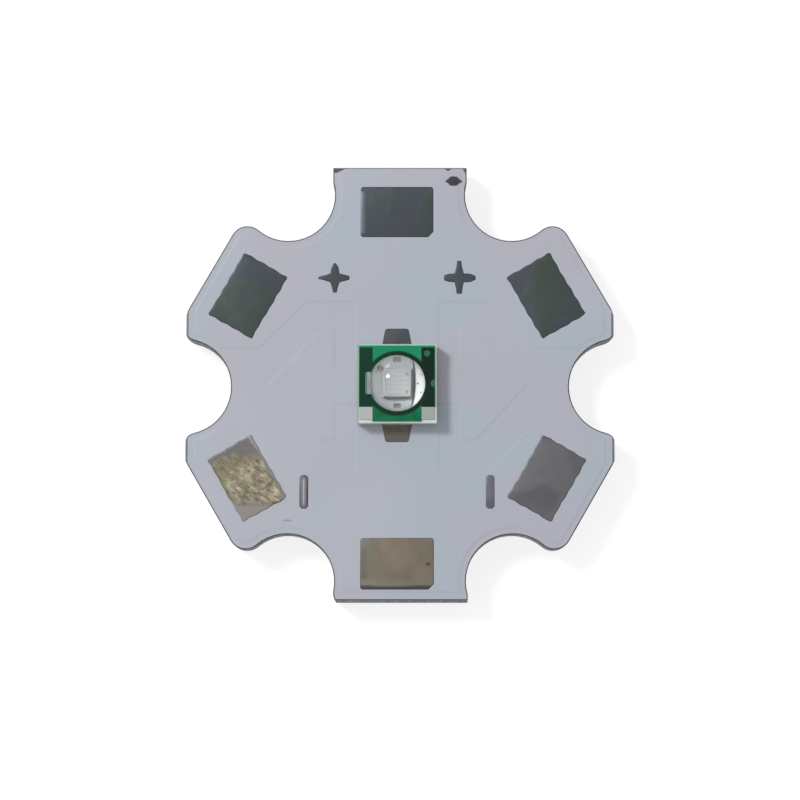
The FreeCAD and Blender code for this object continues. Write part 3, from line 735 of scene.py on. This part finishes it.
def diode_finish(package):
    """Sawn silicon: a dark bond spot on a pale plated top, with grey sides."""
    finish = Finish("Sawn silicon", {"IOR": 1.6})
    middle = middle_of("protection_diode")
    half = box_mm("protection_diode")[1].x - middle.x
    spot = finish.disc(middle.x, middle.y, 0.65 * half, 0.1 * half)
    grain = finish.noise(60, 3.0)
    finish.set("Base Color", finish.blend(spot, display(150, 152, 154), package.diode))
    finish.set("Roughness", 0.4 + 0.2 * grain)
    finish.relief((grain, 0.0008))
    return finish.material


def silicone_finish(lens):
    """Clear silicone with a barely uneven skin."""
    finish = Finish("Clear silicone", {"Base Color": lens.silicone, "Transmission Weight": 1.0, "IOR": 1.41})
    ripple = finish.noise(1.6, 1.0)
    dust = finish.noise(40, 3.0, 0.6)
    finish.set("Roughness", dust.rise(0.6, 0.8) * 0.08)
    finish.relief((ripple, 0.006))
    return finish.material


def tab_finish(lens):
    """Cloudy silicone: flow lines along the tab and a paler rim where it is thin."""
    finish = Finish("Cloudy silicone", {"IOR": 1.41, "Specular IOR Level": 0.4})
    flow = finish.noise(7, 3.0, 0.6, stretch=(1, 0.15, 1))
    rim = finish.facing("Z").fall(0.4, 0.95)
    middle = middle_of("led_die")
    [x] = finish.axes("X", middle)
    root = abs(x + box_mm("lens")[1].y - middle.y).fall(0.02, 0.1)
    colour = finish.blend(flow.rise(0.35, 0.65) * 0.4, lens.tab, display(98, 112, 106))
    finish.set("Base Color", finish.blend((rim * 0.25).most(root * 0.55), colour, display(190, 200, 194)))
    finish.set("Alpha", 0.8 + 0.15 * flow)
    finish.set("Roughness", 0.25 + 0.2 * flow)
    finish.relief((flow, 0.004))
    return finish.material


# Modelling

def eased(value, low, high):
    """0 up to low, 1 from high, and a smooth climb between."""
    share = min(max((value - low) / (high - low), 0), 1)
    return share * share * (3 - 2 * share)


def take(*pieces):
    """Selects these objects alone, the first of them active."""
    bpy.ops.object.select_all(action="DESELECT")
    for piece in pieces:
        piece.select_set(True)
    bpy.context.view_layer.objects.active = pieces[0]
    return pieces[0]


@contextlib.contextmanager
def editing(piece):
    """Edit mode on one object."""
    take(piece)
    bpy.ops.object.mode_set(mode="EDIT")
    yield
    bpy.ops.object.mode_set(mode="OBJECT")


def pick(piece, kind, test):
    """In edit mode, selects only the vertices, edges or faces that pass a test."""
    bpy.ops.mesh.select_all(action="DESELECT")
    bpy.ops.mesh.select_mode(type=kind)
    mesh = bmesh.from_edit_mesh(piece.data)
    elements = {"VERT": mesh.verts, "EDGE": mesh.edges, "FACE": mesh.faces}[kind]
    for element in elements:
        if test(element):
            element.select_set(True)
    bmesh.update_edit_mesh(piece.data)


def applied(piece, kind, **settings):
    """Adds a modifier, sets it and applies it."""
    take(piece)
    modifier = piece.modifiers.new(kind.title(), kind)
    for name, setting in settings.items():
        setattr(modifier, name, setting)
    bpy.ops.object.modifier_apply(modifier=modifier.name)


def settled(piece):
    """Puts the object's place, turn and scale into its mesh."""
    take(piece)
    bpy.ops.object.transform_apply(location=True, rotation=True, scale=True)
    return piece


def added(primitive, **settings):
    """New primitive, selected alone, with its place in its mesh."""
    bpy.ops.object.select_all(action="DESELECT")
    primitive(**settings)
    return settled(bpy.context.object)


def joined(*pieces):
    """One closed solid from several that overlap. The first piece stays."""
    for other in pieces[1:]:
        applied(pieces[0], "BOOLEAN", operation="UNION", solver="EXACT", object=other)
        bpy.data.objects.remove(other)
    return pieces[0]


def copy_of(node):
    """Copy of a packed piece, in millimetres, with its triangles joined and its flat areas one face each."""
    take(NODES[node])
    bpy.ops.object.duplicate()
    copy = bpy.context.object
    copy.parent = None
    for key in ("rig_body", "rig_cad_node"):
        del copy[key]
    copy.scale = (MM, MM, MM)
    settled(copy)
    with editing(copy):
        bpy.ops.mesh.select_all(action="SELECT")
        bpy.ops.mesh.remove_doubles(threshold=MERGE_GAP)
        bpy.ops.mesh.dissolve_limited(angle_limit=FLAT_ANGLE)
    return copy


def middle_of(node):
    """Middle of a packed piece, in millimetres."""
    low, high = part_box(node)
    return (low + high) * MM / 2


def box_mm(node):
    """Lowest and highest corner of a packed piece, in millimetres."""
    return [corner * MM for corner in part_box(node)]


def hand_over(piece, name, material, slot, *nodes):
    """Brings a shaped piece back to metres, finishes it and puts it on the board in place of packed ones."""
    settled(piece)
    piece.scale = (1 / MM, 1 / MM, 1 / MM)
    settled(piece)
    bpy.ops.object.shade_smooth_by_angle(angle=SMOOTH_ANGLE)
    piece.name = piece.data.name = name
    piece.data.materials.clear()
    piece.data.materials.append(material)
    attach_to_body(piece, "root")
    if nodes:
        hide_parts(*nodes)
    return piece


def dress(material, *nodes):
    """Gives packed pieces their finish."""
    for node in nodes:
        NODES[node].data.materials.clear()
        NODES[node].data.materials.append(material)


def soften(node, width):
    """Rounds the edges of a packed piece by modifiers, with its mesh as it is."""
    piece = NODES[node]
    weld = piece.modifiers.new("Weld", "WELD")
    weld.merge_threshold = WELD_GAP
    bevel = piece.modifiers.new("Bevel", "BEVEL")
    bevel.width = width
    bevel.segments = 2
    bevel.limit_method = "ANGLE"
    bevel.angle_limit = EDGE_ANGLE


# Board

class STARLED_OT_board(Operator):
    """Finishes the plate, the layers on it and the white mask"""
    bl_idname = "star_led.board"
    bl_label = "Finish the board"

    def execute(self, context):
        board = context.scene.star_led_board
        dress(aluminium_finish(board), "aluminium_base")
        dress(dielectric_finish(board), "dielectric_layer")
        dress(copper_finish(board), "plus_copper", "minus_copper", "thermal_copper")
        dress(white_mask_finish(board), "solder_mask")
        soften("aluminium_base", board.back_edge)
        return {"FINISHED"}


def crowned(node, tin):
    """Copy of a tinned area whose top rises over a rounded shoulder."""
    piece = copy_of(node)
    with editing(piece):
        pick(piece, "FACE", lambda face: face.normal.z > 0.9)
        for run, lift in ((0.2, 0.5), (0.3, 0.32), (0.5, 0.18)):
            bpy.ops.mesh.inset(thickness=run * tin.shoulder * MM, depth=lift * tin.rise * MM)
    return piece


class STARLED_OT_pads(Operator):
    """Models the five level tinned pads, each with a rounded shoulder"""
    bl_idname = "star_led.pads"
    bl_label = "Tin the pads"

    def execute(self, context):
        tin = context.scene.star_led_tin
        # Each pad's tones are a painted reflection of what it mirrors
        upper = tin_finish("Tin of the upper pads", tin.upper, tin.upper_cast, 0.0)
        lower_right = tin_finish("Tin of the lower right pad", tin.lower_right, tin.lower_right_cast, 3.0)
        bottom = tin_finish("Tin of the bottom pad", tin.bottom, tin.bottom_cast, 7.0, "bottom_pad_tin",
                            BOTTOM_TOUCHES)
        top = tin_finish("Tin of the top pad", tin.upper, tin.upper_cast, 19.0, "top_pad_tin", TOP_TOUCHES)
        finishes = {"top_pad": top, "upper_left_pad": upper, "upper_right_pad": upper,
                    "lower_right_pad": lower_right, "bottom_pad": bottom}
        for name, finish in finishes.items():
            hand_over(crowned(name + "_tin", tin), name, finish, "tin", name + "_tin")
        return {"FINISHED"}


class STARLED_OT_marks(Operator):
    """Models the four tinned polarity marks"""
    bl_idname = "star_led.marks"
    bl_label = "Tin the polarity marks"

    def execute(self, context):
        tin = context.scene.star_led_tin
        # Each mark's tones are a painted reflection of what it mirrors
        plus = tin_finish("Tin of the plus marks", tin.upper, tin.upper_cast, 11.0)
        left_minus = tin_finish("Tin of the left minus mark", tin.left_minus, display(84, 84, 92), 13.0,
                                "minus_mark_left", MINUS_TOUCHES)
        right_minus = tin_finish("Tin of the right minus mark", tin.right_minus, display(92, 92, 102), 17.0)
        finishes = {"plus_mark_left": plus, "plus_mark_right": plus,
                    "minus_mark_left": left_minus, "minus_mark_right": right_minus}
        for node, finish in finishes.items():
            hand_over(crowned(node, tin), node.replace("mark", "sign"), finish, "tin", node)
        return {"FINISHED"}


class STARLED_OT_wiped_pad(Operator):
    """Models the lower left pad, whose solder was wiped into wrinkles"""
    bl_idname = "star_led.wiped_pad"
    bl_label = "Wipe the lower left pad"

    def execute(self, context):
        solder = context.scene.star_led_solder
        node = "lower_left_pad_tin"
        high = box_mm(node)[1]
        piece = copy_of(node)
        cell = solder.cell * MM
        with editing(piece):
            pick(piece, "FACE", lambda face: face.normal.z > 0.9)
            bpy.ops.mesh.inset(thickness=cell, depth=cell)
            bpy.ops.mesh.select_all(action="SELECT")
            bpy.ops.transform.shrink_fatten(value=cell / 2)
        applied(piece, "REMESH", mode="VOXEL", voxel_size=cell)
        applied(piece, "SMOOTH", factor=0.5, iterations=3)
        self.weigh(piece, solder, middle_of(node), high.z)
        guide = bpy.data.objects.new("wrinkle_guide", None)
        context.scene.collection.objects.link(guide)
        guide.rotation_euler.z = solder.wrinkle_turn
        guide.scale = (solder.wrinkle_length * MM, solder.wrinkle_width * MM, solder.wrinkle_width * MM)
        context.view_layer.update()
        wrinkles = bpy.data.textures.new("Wrinkles", "CLOUDS")
        wrinkles.noise_scale = 1.0
        wrinkles.noise_depth = 2
        applied(piece, "DISPLACE", texture=wrinkles, texture_coords="OBJECT", texture_coords_object=guide,
                direction="Z", vertex_group="wiped", strength=solder.wrinkle_height * MM, mid_level=0.0)
        bpy.data.objects.remove(guide)
        applied(piece, "SMOOTH", factor=0.5, iterations=1)
        top = high.z + cell
        finish = crumpled_solder_finish(solder, middle_of(node), top, top + solder.wrinkle_height * MM)
        hand_over(piece, "lower_left_pad", finish, "tin", node)
        return {"FINISHED"}

    def weigh(self, piece, solder, middle, top):
        """Marks how strongly each spot was wiped: not at the plain corner, rim and lower end."""
        along = Vector((math.cos(solder.pad_turn), math.sin(solder.pad_turn), 0))
        across = Vector((-along.y, along.x, 0))
        group = piece.vertex_groups.new(name="wiped")
        for vertex in piece.data.vertices:
            if vertex.co.z < top + MERGE_GAP or vertex.normal.z < 0.5:
                continue
            spot = vertex.co - middle
            far, aside = spot.dot(along), spot.dot(across)
            corner_gap = math.hypot(far - PLAIN_CORNER[0], aside - PLAIN_CORNER[1])
            share = eased(corner_gap, 0.5, 1.2) * eased(spot.y, PLAIN_END - 0.15, PLAIN_END + 0.1)
            share *= (1 - eased(abs(aside), 0.9, 1.1)) * (0.45 + 0.55 * eased(far, -0.9, -0.1))
            group.add([vertex.index], share, "REPLACE")


class STARLED_OT_ink(Operator):
    """Models the inspection dot as a drop of dried ink, drawn out to two points"""
    bl_idname = "star_led.ink"
    bl_label = "Dab the inspection dot"

    def execute(self, context):
        ink = context.scene.star_led_ink
        middle = Vector((ink.x * MM, ink.y * MM, box_mm("solder_mask")[1].z))
        piece = added(bpy.ops.mesh.primitive_uv_sphere_add, segments=40, ring_count=12, radius=0.5,
                      location=middle, scale=(ink.length * MM, ink.width * MM, 2 * ink.height * MM))
        with editing(piece):
            pick(piece, "VERT", lambda vertex: vertex.co.z < middle.z - MERGE_GAP)
            bpy.ops.mesh.delete(type="VERT")
            pick(piece, "EDGE", lambda edge: edge.is_boundary)
            bpy.ops.mesh.edge_face_add()
            for share in (0.55, 0.75, 0.9):
                pick(piece, "VERT", lambda vertex: abs(vertex.co.x - middle.x) > share * ink.length * MM / 2)
                bpy.ops.transform.resize(value=(1.0, ink.taper, 1.0), center_override=middle)
            bpy.ops.mesh.select_all(action="SELECT")
            bpy.ops.mesh.normals_make_consistent(inside=False)
        hand_over(piece, "ink_dot", ink_finish(ink), "diode")
        return {"FINISHED"}


# Package

class STARLED_OT_package(Operator):
    """Finishes the ceramic, its metal, its green mask and the solder under it"""
    bl_idname = "star_led.package"
    bl_label = "Finish the package"

    def execute(self, context):
        package = context.scene.star_led_package
        dress(ceramic_finish(package), "ceramic_substrate")
        dress(green_mask_finish(package), "package_mask")
        dress(plating_finish(package), "anode_trace", "cathode_trace", "anode_contact", "cathode_contact",
              "thermal_contact", "anode_via", "cathode_via")
        dress(solder_finish(package), "plus_solder_joint", "minus_solder_joint", "thermal_solder_joint")
        return {"FINISHED"}


class STARLED_OT_emitter(Operator):
    """Finishes the emitter, its fingers and the diode beside it"""
    bl_idname = "star_led.emitter"
    bl_label = "Finish the emitter"

    def execute(self, context):
        package = context.scene.star_led_package
        dress(die_finish(package), "led_die")
        attach = metal_finish("Die-attach solder", package.die_plating, display(164, 166, 166), 0.4, 30)
        fingers = metal_finish("Plated fingers", package.fingers, display(158, 158, 162), 0.36, 60)
        dress(attach, "die_attach")
        dress(fingers, "die_fingers")
        dress(diode_finish(package), "protection_diode")
        return {"FINISHED"}


def circle_through(start, middle, end):
    """Centre, axis and swept angle of the arc through three points."""
    first, second = start - end, middle - end
    axis = first.cross(second)
    centre = end + (second * first.length_squared - first * second.length_squared).cross(axis) / (
        2 * axis.length_squared)
    swept = (start - centre).angle(middle - centre) + (middle - centre).angle(end - centre)
    return centre, (start - centre).cross(middle - centre).normalized(), swept


def bond_wire(start, end, peak_z, wires):
    """Round wire from a ball at start to a wedge at end, in one arc."""
    radius, ball, ball_height = wires.radius * MM, wires.ball_radius * MM, wires.ball_height * MM
    take_off = start + Vector((0, 0, ball_height / 2))
    landing = end + Vector((0, 0, radius))
    middle = (take_off + landing) / 2
    middle.z = peak_z
    centre, axis, swept = circle_through(take_off, middle, landing)
    tangent = axis.cross(take_off - centre)
    loop = added(bpy.ops.mesh.primitive_circle_add, vertices=wires.sides, radius=radius, fill_type="NGON",
                 location=take_off, rotation=tangent.to_track_quat("Z", "Y").to_euler())
    with editing(loop):
        bpy.ops.mesh.select_all(action="SELECT")
        bpy.ops.mesh.spin(steps=wires.steps, angle=swept, center=centre, axis=axis, use_normal_flip=False)
        bpy.ops.mesh.select_all(action="SELECT")
        bpy.ops.mesh.remove_doubles(threshold=MERGE_GAP)
        bpy.ops.mesh.normals_make_consistent(inside=False)
    along = Vector((end.x - start.x, end.y - start.y, 0)).normalized()
    stitch, flat = wires.stitch * MM, radius * 0.8
    bond = added(bpy.ops.mesh.primitive_uv_sphere_add, segments=20, ring_count=10, radius=ball,
                 location=take_off, scale=(1, 1, ball_height / 2 / ball))
    wedge = added(bpy.ops.mesh.primitive_uv_sphere_add, segments=16, ring_count=8, radius=1.0,
                  location=end + along * stitch * 0.4 + Vector((0, 0, flat)),
                  rotation=(0, 0, math.atan2(along.y, along.x)), scale=(stitch * 0.6, radius * 1.25, flat))
    return joined(loop, bond, wedge)


class STARLED_OT_wires(Operator):
    """Models the three bond wires round, from a ball to a wedge"""
    bl_idname = "star_led.wires"
    bl_label = "Bond the wires"

    def execute(self, context):
        wires = context.scene.star_led_wires
        gold = metal_finish("Gold wire", context.scene.star_led_package.gold, display(140, 126, 100), 0.3, 60)
        ball, radius, stitch = wires.ball_radius * MM, wires.radius * MM, wires.stitch * MM
        tops = {"upper_bond_wire": box_mm("die_fingers")[1].z, "lower_bond_wire": box_mm("die_fingers")[1].z,
                "diode_wire": box_mm("protection_diode")[1].z}
        for node, top in tops.items():
            low, high = box_mm(node)
            slanted = node == "diode_wire"
            start_y = low.y + ball if slanted else (low.y + high.y) / 2
            end_y = high.y - radius if slanted else start_y
            start = Vector((low.x + ball, start_y, top))
            end = Vector((high.x - stitch, end_y, low.z))
            piece = bond_wire(start, end, high.z - radius, wires)
            hand_over(piece, node.replace("wire", "loop"), gold, "gold", node)
        return {"FINISHED"}


class STARLED_OT_lens(Operator):
    """Models the silicone dome with its skirt and the plug under it"""
    bl_idname = "star_led.lens"
    bl_label = "Mould the lens"

    def execute(self, context):
        lens = context.scene.star_led_lens
        low, high = box_mm("lens")
        middle = middle_of("led_die")
        radius, skirt, sink = high.y - middle.y, lens.skirt * MM, lens.sink * MM
        foot = box_mm("package_mask")[1].z
        middle.z = foot + skirt
        dome = added(bpy.ops.mesh.primitive_uv_sphere_add, segments=lens.segments,
                     ring_count=lens.segments // 2, radius=radius, location=middle)
        with editing(dome):
            pick(dome, "VERT", lambda vertex: vertex.co.z < middle.z - MERGE_GAP)
            bpy.ops.mesh.delete(type="VERT")
            pick(dome, "EDGE", lambda edge: edge.is_boundary)
            bpy.ops.mesh.extrude_region_move(TRANSFORM_OT_translate={"value": (0, 0, -skirt - sink)})
            bpy.ops.mesh.extrude_region_move()
            inner = 1 - lens.window_margin * MM / radius
            bpy.ops.transform.resize(value=(inner, inner, 1.0), center_override=middle)
            bpy.ops.mesh.extrude_region_move(TRANSFORM_OT_translate={"value": (0, 0, low.z - foot)})
            bpy.ops.mesh.edge_face_add()
            bpy.ops.mesh.select_all(action="SELECT")
            bpy.ops.mesh.normals_make_consistent(inside=False)
        hand_over(dome, "silicone_dome", silicone_finish(lens), "lens", "lens")
        # The lamp's light passes through clear silicone
        dome.visible_shadow = False
        return {"FINISHED"}


class STARLED_OT_tab(Operator):
    """Models the moulding tab that sticks out of the dome on the left"""
    bl_idname = "star_led.tab"
    bl_label = "Mould the tab"

    def execute(self, context):
        lens = context.scene.star_led_lens
        low, high = box_mm("lens")
        middle = middle_of("led_die")
        foot = box_mm("package_mask")[1].z - lens.sink * MM
        tall, rounding = (lens.tab_height + lens.sink) * MM, lens.tab_rounding * MM
        inner_x = middle.x - math.sqrt((high.y - middle.y) ** 2 - (lens.tab_width * MM / 2) ** 2)
        place = Vector(((low.x + inner_x) / 2, middle.y, foot + tall / 2))
        tab = added(bpy.ops.mesh.primitive_cube_add, size=1.0, location=place,
                    scale=(inner_x - low.x, lens.tab_width * MM, tall))
        with editing(tab):
            pick(tab, "EDGE", lambda edge: all(v.co.x < place.x for v in edge.verts)
                 and edge.verts[0].co.y == edge.verts[1].co.y)
            bpy.ops.mesh.bevel(offset=2 * rounding, segments=6)
            pick(tab, "EDGE", lambda edge: all(v.co.z > place.z for v in edge.verts)
                 and not all(v.co.x > inner_x - MERGE_GAP for v in edge.verts))
            bpy.ops.mesh.bevel(offset=rounding, segments=4)
        hand_over(tab, "moulding_tab", tab_finish(lens), "lens", "lens")
        return {"FINISHED"}


# Stage

def aimed(piece, target):
    """Turns a camera or lamp towards a point."""
    piece.rotation_euler = (target - piece.location).to_track_quat("-Z", "Y").to_euler()


class STARLED_OT_stage(Operator):
    """Sets the floor, the lamp, the surrounding light and the camera"""
    bl_idname = "star_led.stage"
    bl_label = "Set the stage"

    def execute(self, context):
        stage = context.scene.star_led_stage
        self.add_floor(stage)
        self.add_lamp(stage)
        self.add_surround(context, stage)
        self.add_camera(context, stage)
        context.scene.view_settings.view_transform = "Standard"
        return {"FINISHED"}

    def add_floor(self, stage):
        """Pale floor that shows white where it is lit and keeps the board's shadow."""
        floor = added(bpy.ops.mesh.primitive_plane_add, size=stage.floor_size,
                      location=(0, 0, -stage.floor_gap))
        floor.name = "floor"
        finish = Finish("Pale floor", {"Base Color": (stage.floor_tone,) * 3, "Roughness": 0.9,
                                       "Specular IOR Level": 0.0, "Emission Color": (1.0, 1.0, 1.0)})
        finish.set("Emission Strength", finish.shown() * stage.floor_glow)
        below = finish.node("ShaderNodeNewGeometry", output="Backfacing")
        clear = finish.node("ShaderNodeBsdfTransparent")
        surface = Value(finish, finish.surface.outputs[0])
        mixed = finish.node("ShaderNodeMixShader", values={0: below, 1: surface, 2: clear})
        output = next(node for node in finish.tree.nodes if node.type == "OUTPUT_MATERIAL")
        finish.feed(output.inputs["Surface"], mixed)
        floor.data.materials.append(finish.material)

    def add_lamp(self, stage):
        """Soft lamp from the upper left, at a strength that adds its share of the light on a level face."""
        rise = math.sin(stage.lamp_elevation)
        run = math.cos(stage.lamp_elevation)
        towards = Vector((run * math.cos(stage.lamp_bearing), run * math.sin(stage.lamp_bearing), rise))
        bpy.ops.object.select_all(action="DESELECT")
        bpy.ops.object.light_add(type="AREA", location=towards * stage.lamp_distance)
        lamp = bpy.context.object
        lamp.name = "soft_lamp"
        lamp.data.shape = "DISK"
        lamp.data.size = stage.lamp_size
        lamp.data.energy = math.pi ** 2 * stage.lamp_share * stage.lamp_distance ** 2 / rise
        aimed(lamp, Vector((0, 0, 0)))

    def add_surround(self, context, stage):
        """Even light from all round that shows as white, with a bright side and strip for polished faces."""
        world = bpy.data.worlds.new("Studio")
        world.use_nodes = True
        shader = Shader(world.node_tree)
        direction = shader.node("ShaderNodeTexCoord", output="Generated")
        across = shader.node("ShaderNodeVectorMath", {"operation": "DOT_PRODUCT"},
                             {0: direction, 1: BRIGHT_SIDE}, output="Value")
        strip = shader.node("ShaderNodeVectorMath", {"operation": "DOT_PRODUCT"},
                            {0: direction, 1: STRIP}, output="Value")
        mirrored = DULL_SIDE + BRIGHT_SIDE_GAIN * across.rise(*BRIGHT_SIDE_EDGE)
        mirrored = mirrored + STRIP_GAIN * strip.rise(*STRIP_EDGE)
        seen = shader.light_path("Is Camera Ray")
        reflected = shader.light_path("Is Glossy Ray").most(shader.light_path("Is Transmission Ray"))
        reflected = reflected * (1 - shader.light_path("Diffuse Depth").least(1.0))
        strength = seen + (1 - seen) * (reflected * mirrored + (1 - reflected) * (1 - stage.lamp_share))
        background = shader.node("ShaderNodeBackground",
                                 values={"Color": (1.0, 1.0, 1.0), "Strength": strength})
        shader.node("ShaderNodeOutputWorld", values={"Surface": background})
        context.scene.world = world

    def add_camera(self, context, stage):
        """Camera almost overhead, at the picture's angle and framing."""
        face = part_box("solder_mask")[1].z
        target = Vector((0, -stage.aim_y, face))
        back = Vector((0, -math.cos(stage.elevation), math.sin(stage.elevation)))
        bpy.ops.object.camera_add(location=target + back * stage.distance)
        camera = context.object
        camera.name = "camera"
        camera.data.lens = camera.data.sensor_width * stage.distance / stage.field
        camera.data.clip_start = stage.distance / 100
        aimed(camera, target)
        context.scene.camera = camera


# Panel and registration

GROUPS = {
    "star_led_board": BoardSettings,
    "star_led_tin": TinSettings,
    "star_led_solder": SolderSettings,
    "star_led_ink": InkSettings,
    "star_led_package": PackageSettings,
    "star_led_lens": LensSettings,
    "star_led_wires": WireSettings,
    "star_led_stage": StageSettings,
}
OPERATORS = [STARLED_OT_board, STARLED_OT_pads, STARLED_OT_marks, STARLED_OT_wiped_pad, STARLED_OT_ink,
             STARLED_OT_package, STARLED_OT_emitter, STARLED_OT_wires, STARLED_OT_lens, STARLED_OT_tab,
             STARLED_OT_stage]


class STARLED_PT_sidebar(Panel):
    """Lists every group of settings and the steps that build the LED"""
    bl_idname = "STARLED_PT_sidebar"
    bl_label = "Star LED"
    bl_space_type = "VIEW_3D"
    bl_region_type = "UI"
    bl_category = "Star LED"

    def draw(self, context):
        for operator in OPERATORS:
            self.layout.operator(operator.bl_idname)
        for name, group in GROUPS.items():
            box = self.layout.box()
            box.label(text=group.__doc__)
            for setting in group.__annotations__:
                box.prop(getattr(context.scene, name), setting)


def register():
    """Registers the settings, the operators and the panel."""
    for group in GROUPS.values():
        bpy.utils.register_class(group)
    for name, group in GROUPS.items():
        setattr(bpy.types.Scene, name, PointerProperty(type=group))
    for operator in OPERATORS:
        bpy.utils.register_class(operator)
    bpy.utils.register_class(STARLED_PT_sidebar)


def unregister():
    """Takes back all that register added."""
    bpy.utils.unregister_class(STARLED_PT_sidebar)
    for operator in reversed(OPERATORS):
        bpy.utils.unregister_class(operator)
    for name in GROUPS:
        delattr(bpy.types.Scene, name)
    for group in reversed(GROUPS.values()):
        bpy.utils.unregister_class(group)


def main():
    """Builds every piece in order."""
    register()
    bpy.ops.star_led.board()
    bpy.ops.star_led.pads()
    bpy.ops.star_led.marks()
    bpy.ops.star_led.wiped_pad()
    bpy.ops.star_led.ink()
    bpy.ops.star_led.package()
    bpy.ops.star_led.emitter()
    bpy.ops.star_led.wires()
    bpy.ops.star_led.lens()
    bpy.ops.star_led.tab()
    bpy.ops.star_led.stage()


if __name__ == "__main__":
    main()
